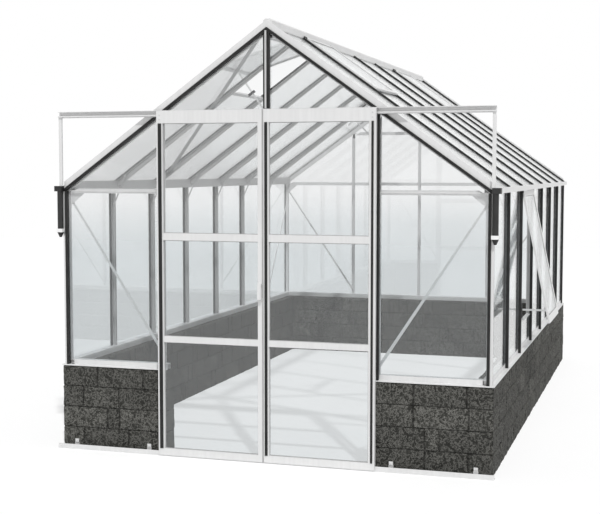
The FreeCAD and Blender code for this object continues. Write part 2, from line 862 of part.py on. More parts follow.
def roof_braces():
    """Flat bars under the roof bars from the front rafters near the ridge to the second bars at the eaves."""
    braces = []
    near = glass_front + s.bar_depth
    far = bar_y(2) + s.channel_half
    top = float(ROOF_BRACE_TOP)
    foot = float((eaves_face - ROOF_BRACE_FOOT) * secant)
    lean = (foot - top) / float(far - near)
    half = float(s.brace_width) / 2 * math.hypot(1, lean)
    corners = [(top - half, near), (top + half, near), (foot + half, far), (foot - half, far)]
    for side in (-1, 1):
        turn = Rotation(AXIS["Y"], side * float(s.roof_angle))
        mirrored = [(side * down, y) for down, y in corners]
        x, z = roof_point(0, -float(s.bar_depth + s.plate_thick))
        name = f"brace_roof_{side + 1}"
        braces.append(prism(name, "XY", (side * x, 0, z), [mirrored], AXIS["Z"], s.plate_thick, turn))
    return braces


KNEE_DROP = 90
KNEE_REACH = 103
KNEE_LAP = 7
KNEE_WIDTH = 14


def knee_struts():
    """Short flat struts bolted beside each side post and roof bar, across the eaves."""
    inset = float(s.channel_depth) / 2
    low = (float(glass_x - s.bar_depth) + inset, float(eaves_z) - KNEE_DROP)
    x = float(glass_x) - KNEE_REACH
    high = (x, float(roof_z(x, inset - float(s.bar_depth))))
    y = bar_y(1) + s.channel_half
    first = flat_bar("knee_strut", "XZ", (0, y, 0), low, high, KNEE_WIDTH, AXIS["Y"], KNEE_LAP)
    struts = [first] + [copy_of(first, (0, step * bay, 0)) for step in range(1, SIDE_BAYS - 1)]
    node("knee_struts", with_turned(struts))


GUSSET_LEG = 75


def gusset_plates():
    """Triangular plates in the corners below the gable ties."""
    plates = []
    for side in (-1, 1):
        x = side * (glass_x - s.bar_depth)
        z = tie_z() - s.tie_half
        corners = [(x, z), (x - side * GUSSET_LEG, z), (x, z - GUSSET_LEG)]
        face = glass_front + s.tie_depth - s.plate_thick
        plates.append(prism(f"gusset_{side + 1}", "XZ", (0, face, 0), [corners], AXIS["Y"], s.plate_thick))
    node("gusset_plates", with_turned(plates))


def diagonal_braces():
    node("diagonal_braces", wall_braces() + roof_braces())


# Fixed glass

PANE_TOP_GAP = 2


def side_glass():
    panes = []
    for side in (-1, 1):
        x = glass_x - s.glass_thick if side > 0 else -glass_x
        for index in range(SIDE_BAYS):
            low, high = bay_span(index)
            top = eaves_z - PANE_TOP_GAP
            if side > 0 and index == WINDOW_BAY:
                top = dim(window_sill_z() - 2 * SILL_UPSTAND - float(s.pane_gap))
            panes.append(box(f"side_pane_{side + 1}_{index}", (x, low, sill_top),
                             (s.glass_thick, high - low, top - sill_top)))
    node("side_glass", panes)


def roof_glass():
    panes = []
    seat = -s.glass_thick
    vent_pane = dim(roof_point(vent_sill_start() + 2 * SILL_UPSTAND + float(s.pane_gap), 0)[0])
    for index in range(SIDE_BAYS):
        low, high = bay_span(index)
        start = vent_pane if index in VENT_BAYS else s.ridge_half + s.pane_gap
        corners = [
            (start, roof_z(start, seat)), (roof_end, roof_z(roof_end, seat)),
            (roof_end, roof_z(roof_end)), (start, roof_z(start)),
        ]
        panes.append(prism(f"roof_pane_{index}", "XZ", (0, low, 0), [corners], AXIS["Y"], high - low))
    node("roof_glass", with_turned(panes))


def gable_pane(name, corners, front):
    y = glass_front if front else glass_rear - s.glass_thick
    return prism(name, "XZ", (0, y, 0), [corners], AXIS["Y"], s.glass_thick)


def under_rafter(inner, outer, low, high=None):
    """Pane outline between two uprights and two heights, cut off below the rafter's nose."""
    rim = -s.rafter_nose - s.pane_gap
    rise = roof_z(outer, rim)
    if high is not None and float(rise) > float(high):
        return rectangle((inner, low), (outer, high))
    corners = [(inner, low)]
    if float(rise) > float(low):
        corners += [(outer, low), (outer, rise)]
    else:
        corners.append((roof_x(low, rim), low))
    if high is not None and float(roof_z(inner, rim)) > float(high):
        return corners + [(roof_x(high, rim), high), (inner, high)]
    return corners + [(inner, roof_z(inner, rim))]


def gable_glass():
    below = tie_z() - pane_edge
    above = tie_z() + pane_edge
    corner = glass_x - corner_edge
    inside = s.rear_post - pane_edge
    lintel = header_top() - s.header_lap
    outlines = []
    for end, inner in (("front", s.jamb_post + pane_edge), ("rear", s.rear_post + pane_edge)):
        outlines.append((f"{end}_lower", rectangle((inner, sill_top), (corner, below))))
        outlines.append((f"{end}_upper", under_rafter(inner, corner, above)))
    outlines += [
        ("front_tip", under_rafter(pane_edge, s.jamb_post - pane_edge, lintel)),
        ("rear_base", rectangle((pane_edge, sill_top), (inside, below))),
        ("rear_middle", under_rafter(pane_edge, inside, above, transom_z() - pane_edge)),
        ("rear_tip", under_rafter(pane_edge, inside, transom_z() + pane_edge)),
    ]
    panes = []
    for side in (-1, 1):
        for name, corners in outlines:
            outline = [(side * x, z) for x, z in corners]
            panes.append(gable_pane(f"{name}_{side + 1}", outline, name.startswith("front")))
    node("gable_glass", panes)


# Black cap strips over the bars

CORNER_STRIP = (3, 18)
RAFTER_STRIP = (11, 26)
KING_STRIP = (4, 18)


def side_strips():
    top = eaves_z - PANE_TOP_GAP
    length = top - lip_top
    section = [(out, across) for across, out in strip_section(-s.strip_half, s.strip_half)]
    first = prism("side_strip", "XY", (glass_x, bar_y(1), lip_top), [section], AXIS["Z"], length)
    strips = [first] + [copy_of(first, (0, step * bay, 0)) for step in range(1, SIDE_BAYS - 1)]
    edge = [(out, across) for across, out in strip_section(*(dim(value) for value in CORNER_STRIP))]
    flipped = [(out, -across) for out, across in edge]
    for name, y, outline in (("front", glass_front, edge), ("rear", glass_rear, flipped)):
        strips.append(prism(f"side_strip_{name}", "XY", (glass_x, y, lip_top), [outline], AXIS["Z"], length))
    node("side_strips", with_turned(strips))


def roof_strips():
    start = s.cap_half + s.pane_gap
    length = (roof_end - PANE_TOP_GAP - start) * secant
    section = [(across, out * secant) for across, out in strip_section(-s.strip_half, s.strip_half)]
    first = prism("roof_strip", "YZ", (start, bar_y(1), roof_z(start)), [section], DOWN_SLOPE, length)
    strips = [first] + [copy_of(first, (0, step * bay, 0)) for step in range(1, SIDE_BAYS - 1)]
    rim = strip_section(*(dim(value) for value in CORNER_STRIP))
    for name, y, turn in (("front", glass_front, 1), ("rear", glass_rear, -1)):
        edge = [(turn * across, out * secant) for across, out in rim]
        strips.append(prism(f"rim_strip_{name}", "YZ", (start, y, roof_z(start)), [edge], DOWN_SLOPE, length))
    node("roof_strips", with_turned(strips))


def gable_strip(name, x, front, span, bottom, top):
    outward = -1 if front else 1
    y = glass_front if front else glass_rear
    section = [(across, outward * out) for across, out in strip_section(*span)]
    return prism(name, "XY", (x, y, bottom), [section], AXIS["Z"], top - bottom)


def strip_foot():
    """Where the rafter strips end beside the corner beads."""
    return glass_x - CORNER_STRIP[0]


def rafter_strip(side):
    """Strip on a rafter's face, from the apex down to the eaves."""
    high, low = (dim(value) for value in RAFTER_STRIP)
    foot_x = strip_foot()
    corners = [
        (dim(0), roof_z(0, -high)), (side * foot_x, roof_z(foot_x, -high)),
        (side * foot_x, roof_z(foot_x, -low)), (dim(0), roof_z(0, -low)),
    ]
    face = glass_front - s.strip_thick
    return prism(f"rafter_strip_{side + 1}", "XZ", (0, face, 0), [corners], AXIS["Y"], s.strip_thick)


def gable_strips():
    full = (-s.strip_half, s.strip_half)
    low_edge = -dim(RAFTER_STRIP[1])
    jamb_top = roof_z(s.jamb_post + s.strip_half, low_edge)
    rear_top = roof_z(s.rear_post + s.strip_half, low_edge)
    crown = roof_z(s.strip_half, low_edge)
    near_king, far_king = (dim(value) for value in KING_STRIP)
    king_top = roof_z(far_king, low_edge)
    strips = [
        gable_strip("jamb_strip_left", -s.jamb_post, True, full, lip_top, jamb_top),
        gable_strip("jamb_strip_right", s.jamb_post, True, full, lip_top, jamb_top),
        gable_strip("king_strip_right", 0, True, (near_king, far_king), header_top(), king_top),
        gable_strip("king_strip_left", 0, True, (-far_king, -near_king), header_top(), king_top),
        gable_strip("rear_strip_left", -s.rear_post, False, full, lip_top, rear_top),
        gable_strip("rear_strip_middle", 0, False, full, lip_top, crown),
        gable_strip("rear_strip_right", s.rear_post, False, full, lip_top, rear_top),
    ]
    near, far = (dim(value) for value in CORNER_STRIP)
    eaves = roof_z(strip_foot(), low_edge)
    corners = [
        gable_strip("corner_strip_right", glass_x, True, (-far, -near), lip_top, eaves),
        gable_strip("corner_strip_left", -glass_x, True, (near, far), lip_top, eaves),
    ]
    node("gable_strips", strips + with_turned(corners + [rafter_strip(-1), rafter_strip(1)]))


# Door tracks

TRACK_LIP = 3
FLOOR_TRACK_FRONT = 16
FLOOR_TRACK_BACK = 26
FIN_FRONT = -11
CLIP_TRACK_AT = (740, 1218)
CLIP_TRACK_WIDTH = 28
STRUT_WIDTH = 20
STRUT_DEPTH = 12


def track_bottom():
    return s.leaf_top + s.track_wall - s.track_height


def ledge_top():
    return track_bottom() + s.track_ledge


def door_tracks():
    wall = s.track_wall
    top = s.leaf_top + wall
    back = s.track_back
    front = s.track_front
    low = ledge_top() - wall
    lip = front + TRACK_LIP
    section = [
        (back, track_bottom()), (back, top), (front, top), (front, s.leaf_top), (back - wall, s.leaf_top),
        (back - wall, ledge_top()), (lip, ledge_top()), (lip, ledge_top() + TRACK_LIP),
        (front, ledge_top() + TRACK_LIP), (front, low), (back - wall, low), (back - wall, track_bottom()),
    ]
    node("door_top_track", [
        prism("top_track", "YZ", (-track_half, 0, 0), [section], AXIS["X"], 2 * track_half),
    ])
    fin_back = FIN_FRONT + wall
    floor = [
        (-FLOOR_TRACK_FRONT, dim(0)), (FLOOR_TRACK_BACK, dim(0)), (FLOOR_TRACK_BACK, wall),
        (fin_back, wall), (fin_back, s.fin_height), (FIN_FRONT, s.fin_height), (FIN_FRONT, wall),
        (-FLOOR_TRACK_FRONT, wall),
    ]
    node("door_bottom_track", [
        prism("bottom_track", "YZ", (-s.floor_track_half, 0, 0), [floor], AXIS["X"], 2 * s.floor_track_half),
    ])
    strut_z = eaves_z + s.gutter_height
    struts = []
    clips = []
    for side in (-1, 1):
        inner = track_half - STRUT_WIDTH
        low_x = inner if side > 0 else -inner - STRUT_WIDTH
        y = s.track_back - wall - STRUT_DEPTH
        struts.append(box(f"track_strut_{side + 1}", (low_x, y, strut_z),
                          (STRUT_WIDTH, STRUT_DEPTH, low - strut_z)))
        for x in CLIP_TRACK_AT:
            clips.append(track_clip(f"track_clip_{side + 1}_{x}", side * x - CLIP_TRACK_WIDTH / 2))
    node("track_struts", struts)
    node("track_clips", clips)


def track_clip(name, x):
    """Angle that holds the bottom track against the wall's foot."""
    wall = s.track_wall
    section = [
        (s.wall_front - 4 * wall, wall), (s.wall_front, wall), (s.wall_front, 8 * wall),
        (s.wall_front - wall, 8 * wall), (s.wall_front - wall, 2 * wall), (s.wall_front - 4 * wall, 2 * wall),
    ]
    return prism(name, "YZ", (x, 0, 0), [section], AXIS["X"], CLIP_TRACK_WIDTH)


# Door leaves

LEFT_STRIP = (11, 20)
RIGHT_STRIP = (12, 12)
MEETING_STRIP = (8, 16)
ROLLER_INSET = 78
HANDLE_WIDTH = 22
HANDLE_LOW = 942
HANDLE_HIGH = 1048
HANDLE_REACH = 26
HANDLE_BAR = 8


def upright(name, x, inward, width):
    """Door stile whose groove faces the panes."""
    section = [(inward * across, deep) for across, deep in grooved_section(width, s.leaf_depth / 2)]
    foot = s.leaf_bottom + s.bottom_rail
    middle = s.leaf_depth / 2 - s.leaf_front
    return prism(name, "XY", (x, middle, foot), [section], AXIS["Z"], s.leaf_top - foot)


def rail(name, x, length, z, height, grooves):
    """Door rail with a glazing groove in its top edge, its bottom edge or both."""
    half = s.leaf_depth / 2
    glass = s.glass_thick / 2
    deep = s.groove_depth
    left = [(-half, dim(0)), (-half, height)]
    top = [(half, height), (half, dim(0))]
    if "top" in grooves:
        left += [(-glass, height), (-glass, height - deep), (glass, height - deep), (glass, height)]
    if "bottom" in grooves:
        top += [(glass, dim(0)), (glass, deep), (-glass, deep), (-glass, dim(0))]
    base = (x, s.leaf_depth / 2 - s.leaf_front, z)
    return prism(name, "YZ", base, [left + top], AXIS["X"], length)


def foot_rail(name, x, length):
    """Bottom rail that straddles the fin of the floor track."""
    wall = s.track_wall
    front = -s.leaf_front
    back = s.leaf_depth - s.leaf_front
    top = s.leaf_bottom + s.bottom_rail
    middle = (front + back) / 2
    glass = s.glass_thick / 2
    groove = top - s.groove_depth
    roof = groove - wall
    section = [
        (front, s.leaf_bottom), (front + wall, s.leaf_bottom), (front + wall, roof), (back - wall, roof),
        (back - wall, s.leaf_bottom + wall), (back, s.leaf_bottom + wall), (back, top), (middle + glass, top),
        (middle + glass, groove), (middle - glass, groove), (middle - glass, top), (front, top),
    ]
    return prism(name, "YZ", (x, 0, 0), [section], AXIS["X"], length)


def leaf_strip(name, low, width):
    face = -s.leaf_front
    bottom = s.leaf_bottom + s.bottom_rail
    section = [(across, -out) for across, out in strip_section(dim(0), dim(width), s.leaf_strip_thick)]
    return prism(name, "XY", (low, face, bottom), [section], AXIS["Z"], s.leaf_top - s.top_rail - bottom)


def roller_places(side):
    near = float(s.leaf_gap) + ROLLER_INSET
    far = float(s.leaf_reach) - ROLLER_INSET
    return [side * near, side * far]


def roller_z():
    return ledge_top() + s.roller_radius + s.run_gap


def roller_y():
    return s.track_front + TRACK_LIP + TRACK_LIP


def door_leaf(label, side):
    outer = s.leaf_reach
    inner = s.leaf_gap
    open_low = inner + s.meeting_width
    open_high = outer - s.stile_width
    rail_x = open_low if side > 0 else -open_high
    rail_length = open_high - open_low
    foot_top = s.leaf_bottom + s.bottom_rail
    head = s.leaf_top - s.top_rail
    rails = [
        foot_rail(f"{label}_foot_rail", inner if side > 0 else -outer, outer - inner),
        rail(f"{label}_low_rail", rail_x, rail_length, s.low_rail, s.low_rail_height, ("top", "bottom")),
        rail(f"{label}_high_rail", rail_x, rail_length, s.high_rail, s.high_rail_height, ("top", "bottom")),
        rail(f"{label}_head_rail", rail_x, rail_length, head, s.top_rail, ("bottom",)),
    ]
    stiles = [
        upright(f"{label}_outer_stile", side * outer, -side, s.stile_width),
        upright(f"{label}_meeting_stile", side * inner, side, s.meeting_width),
    ]
    node(f"{label}_frame", stiles + rails)
    lap = s.groove_depth - s.pane_gap
    pane_y = s.leaf_depth / 2 - s.leaf_front - s.glass_thick / 2
    pane_x = rail_x - lap
    spans = (
        (foot_top, s.low_rail), (s.low_rail + s.low_rail_height, s.high_rail),
        (s.high_rail + s.high_rail_height, head),
    )
    panes = [
        box(f"{label}_pane_{tag}", (pane_x, pane_y, low - lap),
            (rail_length + 2 * lap, s.glass_thick, high - low + 2 * lap))
        for tag, (low, high) in enumerate(spans)
    ]
    node(f"{label}_glass", panes)
    edge, width = RIGHT_STRIP if side > 0 else LEFT_STRIP
    outer_low = outer - edge - width if side > 0 else edge - outer
    strips = [leaf_strip(f"{label}_outer_strip", outer_low, width)]
    if side > 0:
        strips.append(leaf_strip(f"{label}_meeting_strip", inner + MEETING_STRIP[0], MEETING_STRIP[1]))
    node(f"{label}_strips", strips)
    back = s.leaf_depth - s.leaf_front
    for tag, x in zip(("inner", "outer"), roller_places(side)):
        name = f"{label}_roller_{tag}"
        wheel = cylinder(f"{name}_wheel", (x, roller_y(), roller_z()), AXIS["Y"],
                         s.roller_radius, s.roller_width)
        axle = cylinder(f"{name}_axle", (x, back, roller_z()), AXIS["Y"], s.axle_radius, roller_y() - back)
        node(name, [fuse(f"{name}_wheel_set", [wheel, axle])])


def door_handle():
    """Bow grip on the left leaf's meeting stile."""
    face = -s.leaf_front
    out = face - HANDLE_REACH
    bar = HANDLE_BAR
    section = [
        (face, HANDLE_LOW), (out, HANDLE_LOW + bar), (out, HANDLE_HIGH - bar), (face, HANDLE_HIGH),
        (face, HANDLE_HIGH - 2 * bar), (out + bar, HANDLE_HIGH - 2 * bar),
        (out + bar, HANDLE_LOW + 2 * bar), (face, HANDLE_LOW + 2 * bar),
    ]
    x = -s.leaf_gap - (s.meeting_width + HANDLE_WIDTH) / 2
    node("door_handle", [prism("handle_bow", "YZ", (x, 0, 0), [section], AXIS["X"], HANDLE_WIDTH)])


# Opening sashes: roof vents and the side window share one build, in their own hinge frame.
# There X runs from the hinge axis down the sash, Y along the axis and Z outwards.

STAY_LUG = (14, 7, 12)
STAY_TAIL = 4
LUG_PLATE = 4


def sash_width():
    """Between the hinge lugs, which stand beside the strips."""
    return bay - 2 * (s.strip_half + s.lug_thick + 2 * s.lug_gap)


def sash(label, length, stile, head, foot):
    """Frame and pane of a sash; returns the two groups and the stay's pivot."""
    half = sash_width() / 2
    depth = s.sash_half
    stile_section = grooved_section(stile, depth)
    long = length + s.sash_head
    stiles = []
    for side in (-1, 1):
        section = [(-side * across, deep) for across, deep in stile_section]
        stiles.append(prism(f"{label}_stile_{side + 1}", "YZ", (-s.sash_head, side * half, 0), [section],
                            AXIS["X"], long))
    clear = half - stile
    top_section = [(across - s.sash_head, deep) for across, deep in grooved_section(head, depth)]
    foot_section = [(length - across, deep) for across, deep in grooved_section(foot, depth)]
    top = prism(f"{label}_head", "XZ", (0, -clear, 0), [top_section], AXIS["Y"], 2 * clear)
    low = prism(f"{label}_foot", "XZ", (0, -clear, 0), [foot_section], AXIS["Y"], 2 * clear)
    pin_length = s.lug_thick + s.lug_gap
    pins = [
        cylinder(f"{label}_pin_{side + 1}", (0, side * half, 0), side * AXIS["Y"], s.hinge_pin, pin_length)
        for side in (-1, 1)
    ]
    lap = s.groove_depth - s.pane_gap
    start = head - s.sash_head - lap
    pane = box(f"{label}_pane", (start, -clear - lap, -s.glass_thick / 2),
               (length - foot + lap - start, 2 * (clear + lap), s.glass_thick))
    return stiles + [top, low] + pins + [stay_lug(label, stay_pivot(length, foot))], [pane]


def stay_pivot(length, foot):
    """Pivot of a stay, inside the sash near its foot rail, in the hinge frame."""
    return (length - foot - STAY_LUG[0] / 2, -s.sash_half - STAY_LUG[2] / 2)


def stay_lug(label, pivot):
    """Plate under the foot rail that the stay is riveted to."""
    x, z = pivot
    height = STAY_LUG[2]
    width = STAY_LUG[0] + STAY_LUG[1]
    corner = (x - STAY_LUG[0] / 2, -LUG_PLATE, z - height / 2)
    return box(f"{label}_lug_plate", corner, (width, LUG_PLATE, height))


STAY_SIDE_GAP = 0.5


def stay(label, length, pivot, lean):
    """Flat stay bar with its rivet, leaning from the inward direction towards the sash's foot."""
    half = s.stay_width / 2
    bar = box(f"{label}_bar", (-half, STAY_SIDE_GAP, -length),
              (s.stay_width, s.stay_thick, length + STAY_TAIL))
    rivet = cylinder(f"{label}_rivet", (0, 0, 0), AXIS["Y"], s.hinge_pin, STAY_SIDE_GAP)
    arm = fuse(f"{label}_arm", [bar, rivet])
    x, z = pivot
    return copy_of(arm, (x, 0, z), Rotation(AXIS["Y"], -lean))


def vent_axis():
    return roof_point(hinge_down(), hinge_proud())


def window_axis():
    """Side window hinge, just below the gutter and clear of the cap strips."""
    reach = math.hypot(float(s.sash_half), float(s.sash_head))
    return (glass_x + s.sash_lift + s.sash_half, eaves_z - reach - WINDOW_CLEAR)


def sash_node(label, pieces, base, tilt, turned):
    """Places pieces of the hinge frame on their axis, with X tilted below the horizontal."""
    turn = Rotation(AXIS["Y"], tilt)
    placed = [copy_of(piece, base, turn) for piece in pieces]
    if turned:
        placed = [half_turned(piece) for piece in placed]
    node(label, placed)


STAY_RATIO = 0.5
CLOSED_LEAN = -9


def roof_vents():
    frame, pane = sash("vent", s.vent_length, s.vent_rail, s.vent_rail, s.vent_foot_rail)
    pivot = stay_pivot(s.vent_length, s.vent_foot_rail)
    x, z = vent_axis()
    lugs = []
    for index in VENT_BAYS:
        middle = bar_y(index) + bay / 2
        for turned in (False, True):
            front = (index == VENT_BAYS[0]) != turned
            label = f"vent_{'front' if front else 'rear'}_{'left' if turned else 'right'}"
            open_angle = float(s.vent_open) if label == "vent_front_left" else 0
            tilt = float(s.roof_angle) - open_angle
            arm = stay(f"{label}_stay", s.vent_stay, pivot, CLOSED_LEAN - STAY_RATIO * open_angle)
            sash_node(f"{label}_frame", frame, (x, middle, z), tilt, turned)
            sash_node(f"{label}_glass", pane, (x, middle, z), tilt, turned)
            sash_node(f"{label}_stay", [arm], (x, middle, z), tilt, turned)
        for side in (-1, 1):
            face = middle + side * (sash_width() / 2 + s.lug_gap)
            low = face if side > 0 else face - s.lug_thick
            lugs.append(vent_lug(f"vent_lug_{index}_{side + 1}", low))
    return with_turned(lugs)


def lug_with_bore(name, corners, y, axis):
    """Hinge ear bored for a sash pin."""
    ear = prism(f"{name}_ear", "XZ", (0, y, 0), [corners], AXIS["Y"], s.lug_thick)
    bore = cylinder(f"{name}_bore", (axis[0], y, axis[1]), AXIS["Y"], s.hinge_pin + s.pin_gap, s.lug_thick)
    return cut(name, ear, bore)


LUG_RIM = 7
LUG_BACK = 6
LUG_LIFT = 1


def vent_lug(name, y):
    """Ear on the side of the ridge cap."""
    x, z = vent_axis()
    root = float(s.cap_half)
    floor = float(roof_z(root, s.cap_seat)) + LUG_LIFT
    corners = [
        (root, floor), (x + LUG_RIM, z - LUG_RIM), (x + LUG_RIM, z + LUG_RIM / 2), (x, z + LUG_RIM),
        (root, z + 2 * LUG_RIM),
    ]
    return lug_with_bore(name, corners, y, (x, z))


def window_lug(name, y):
    """Ear that hangs from the gutter's underside."""
    x, z = (float(value) for value in window_axis())
    top = float(eaves_z)
    corners = rectangle((x - LUG_BACK, z - LUG_RIM), (x + LUG_RIM, top))
    return lug_with_bore(name, corners, y, (x, z))


def side_window():
    frame, pane = sash("window", s.window_drop, s.window_stile, s.window_rail, s.window_foot_rail)
    pivot = stay_pivot(s.window_drop, s.window_foot_rail)
    middle = bar_y(WINDOW_BAY) + bay / 2
    x, z = window_axis()
    base = (x, middle, z)
    tilt = 90 - float(s.window_open)
    arm = stay("window_stay", s.window_stay, pivot, -float(s.window_open))
    sash_node("side_window_frame", frame, base, tilt, False)
    sash_node("side_window_glass", pane, base, tilt, False)
    sash_node("side_window_stay", [arm], base, tilt, False)
    lugs = []
    for side in (-1, 1):
        face = middle + side * (sash_width() / 2 + s.lug_gap)
        low = face if side > 0 else face - s.lug_thick
        lugs.append(window_lug(f"window_lug_{side + 1}", low))
    return lugs


def hinge_lugs():
    node("hinge_lugs", roof_vents() + side_window())


# Black stay holders on the cross sills: two cheeks that guide the stay

CHEEK = 6
CHEEK_GAP = 1.5
HOLDER_BACK = 6
VENT_HOLDER_REACH = 52
HOLDER_HEIGHT = 14
WINDOW_HOLDER_REACH = 96
WINDOW_HOLDER_DEPTH = 22


def fork(name, reach, height, base, turn):
    """Fork whose slot is open along its own -X; its back stands on the plane X = 0."""
    slot_low = STAY_SIDE_GAP - CHEEK_GAP
    slot_high = STAY_SIDE_GAP + s.stay_thick + CHEEK_GAP
    outline = [
        (dim(0), slot_low - CHEEK), (dim(0), slot_high + CHEEK), (dim(-reach), slot_high + CHEEK),
        (dim(-reach), slot_high), (dim(-HOLDER_BACK), slot_high), (dim(-HOLDER_BACK), dim(slot_low)),
        (dim(-reach), dim(slot_low)), (dim(-reach), dim(slot_low - CHEEK)),
    ]
    return prism(name, "XY", base, [outline], AXIS["Z"], height, turn)


def stay_holders():
    holders = []
    under = float(s.glass_thick + s.flange_thick) + SILL_GAP
    for index in VENT_BAYS:
        x, z = roof_point(vent_sill_start(), -under - HOLDER_HEIGHT)
        base = (x, bar_y(index) + bay / 2, z)
        holders.append(fork(f"vent_holder_{index}", VENT_HOLDER_REACH, HOLDER_HEIGHT, base, ON_SLOPE))
    depth = float(s.glass_thick) + WINDOW_HOLDER_DEPTH
    base = (float(glass_x) - depth, bar_y(WINDOW_BAY) + bay / 2, window_sill_z())
    window = fork("window_holder", WINDOW_HOLDER_REACH, WINDOW_HOLDER_DEPTH - under, base, ON_SIDE)
    node("stay_holders", with_turned(holders) + [window])


# Build every node

block_walls()
base_sills()
corner_posts()
side_posts()
gable_posts()
eaves_beams()
gutters()
rain_goods()
ridge()
gable_rafters()
roof_bars()
cross_sills()
gable_ties()
door_header()
diagonal_braces()
knee_struts()
gusset_plates()
side_glass()
roof_glass()
gable_glass()
side_strips()
roof_strips()
gable_strips()
door_tracks()
door_leaf("door_left", -1)
door_leaf("door_right", 1)
door_handle()
hinge_lugs()
stay_holders()
doc.recompute()

# Check the document, then write one file for each node

for item in doc.Objects:
    if {"Invalid", "Error"} & set(item.State):
        raise RuntimeError(f"{item.Label} did not rebuild: {item.State}")
os.makedirs("parts", exist_ok=True)
for group in nodes:
    if group.Shape.isNull() or not group.Shape.isValid():
        raise RuntimeError(f"{group.Label} has no valid shape")
for group in nodes:
    group.Shape.exportStep(f"parts/{group.Label}.step")
print(len(nodes), "nodes,", sum(len(group.Shape.Solids) for group in nodes), "solids")
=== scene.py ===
import json
import math
import bmesh
import bpy
from mathutils import Matrix, Vector, noise


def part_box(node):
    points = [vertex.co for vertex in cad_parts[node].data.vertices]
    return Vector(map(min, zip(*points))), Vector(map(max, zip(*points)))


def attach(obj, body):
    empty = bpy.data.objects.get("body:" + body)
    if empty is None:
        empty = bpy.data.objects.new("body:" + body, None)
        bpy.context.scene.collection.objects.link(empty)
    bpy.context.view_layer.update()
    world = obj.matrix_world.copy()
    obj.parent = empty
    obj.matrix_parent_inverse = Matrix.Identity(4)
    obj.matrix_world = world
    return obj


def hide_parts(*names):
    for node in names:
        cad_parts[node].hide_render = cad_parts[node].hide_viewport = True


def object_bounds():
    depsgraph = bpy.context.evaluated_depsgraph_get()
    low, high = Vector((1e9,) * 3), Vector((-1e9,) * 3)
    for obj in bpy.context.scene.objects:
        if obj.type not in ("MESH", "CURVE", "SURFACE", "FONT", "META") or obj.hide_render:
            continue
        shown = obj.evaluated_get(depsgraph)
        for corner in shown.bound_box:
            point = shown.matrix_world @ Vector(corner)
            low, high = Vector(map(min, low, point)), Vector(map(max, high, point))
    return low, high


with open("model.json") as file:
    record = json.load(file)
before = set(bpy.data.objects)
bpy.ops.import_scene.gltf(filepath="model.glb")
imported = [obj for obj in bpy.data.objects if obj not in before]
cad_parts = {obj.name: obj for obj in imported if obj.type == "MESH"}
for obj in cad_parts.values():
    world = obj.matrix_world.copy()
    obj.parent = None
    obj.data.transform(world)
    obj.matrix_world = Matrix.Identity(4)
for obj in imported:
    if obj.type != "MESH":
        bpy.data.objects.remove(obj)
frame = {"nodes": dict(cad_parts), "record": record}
cad_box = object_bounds()
nodes = frame["nodes"]
scene = bpy.context.scene
scene.view_settings.view_transform = "Standard"

# Viewpoint of the photograph, in metres and radians, with the focal length in picture widths
VIEW_PLACE = Vector((2.2202, -6.4849, 1.6835))
VIEW_YAW = 0.3002
VIEW_PITCH = -0.0715
VIEW_ROLL = 0.0004
PHOTO_WIDTH = 600
VIEW_FOCAL = 1201.9674 / PHOTO_WIDTH
SENSOR_WIDTH = 36.0

# Light: a sun from the front right and an even white studio around it
SUN_TRAVEL = Vector((-0.39, 0.70, -1.0))
SUN_STRENGTH = 2.9
SUN_ANGLE = 0.035
AMBIENT = 0.40
BACKDROP = 1.0
FLOOR_REACH = 20.0
FLOOR_GLOW = 0.62
FLOOR_COLOUR = 0.92
WHITE = (1.0, 1.0, 1.0, 1.0)

# Bodies of the door leaves and the roof vents
LEAVES = ("door_left", "door_right")
VENTS = ("vent_front_left", "vent_front_right", "vent_rear_left", "vent_rear_right")


# Node graphs

def new_material(name):
    material = bpy.data.materials.new(name)
    material.use_nodes = True
    graph = material.node_tree
    return material, graph, graph.nodes["Principled BSDF"]


def ramp(graph, source, stops):
    """Colour ramp over a value, with (position, colour) stops."""
    item = graph.nodes.new("ShaderNodeValToRGB")
    points = item.color_ramp.elements
    while len(points) < len(stops):
        points.new(0.5)
    for point, (position, colour) in zip(points, stops):
        point.position = position
        point.color = (*colour, 1.0)
    graph.links.new(source, item.inputs["Fac"])
    return item.outputs["Color"]


def span(graph, source, low, high):
    """Maps 0..1 to low..high."""
    item = graph.nodes.new("ShaderNodeMapRange")
    item.inputs["To Min"].default_value = low
    item.inputs["To Max"].default_value = high
    graph.links.new(source, item.inputs["Value"])
    return item.outputs["Result"]


def combine(graph, operation, first, second):
    item = graph.nodes.new("ShaderNodeMath")
    item.operation = operation
    graph.links.new(first, item.inputs[0])
    graph.links.new(second, item.inputs[1])
    return item.outputs["Value"]


def multiply_colours(graph, first, second):
    item = graph.nodes.new("ShaderNodeMix")
    item.data_type = "RGBA"
    item.blend_type = "MULTIPLY"
    item.inputs["Factor"].default_value = 1.0
    graph.links.new(first, item.inputs["A"])
    graph.links.new(second, item.inputs["B"])
    return item.outputs["Result"]


def texture_place(graph, scale=(1, 1, 1)):
    """Object coordinates, stretched."""
    place = graph.nodes.new("ShaderNodeTexCoord")
    mapping = graph.nodes.new("ShaderNodeMapping")
    mapping.inputs["Scale"].default_value = scale
    graph.links.new(place.outputs["Object"], mapping.inputs["Vector"])
    return mapping.outputs["Vector"]


def noise_value(graph, place, scale, detail=4.0, roughness=0.55):
    item = graph.nodes.new("ShaderNodeTexNoise")
    item.inputs["Scale"].default_value = scale
    item.inputs["Detail"].default_value = detail
    item.inputs["Roughness"].default_value = roughness
    graph.links.new(place, item.inputs["Vector"])
    return item.outputs["Fac"]


def bump(graph, shader, height, strength, distance):
    item = graph.nodes.new("ShaderNodeBump")
    item.inputs["Strength"].default_value = strength
    item.inputs["Distance"].default_value = distance
    graph.links.new(height, item.inputs["Height"])
    graph.links.new(item.outputs["Normal"], shader.inputs["Normal"])


def grey(level):
    return (level, level, level)


# Materials

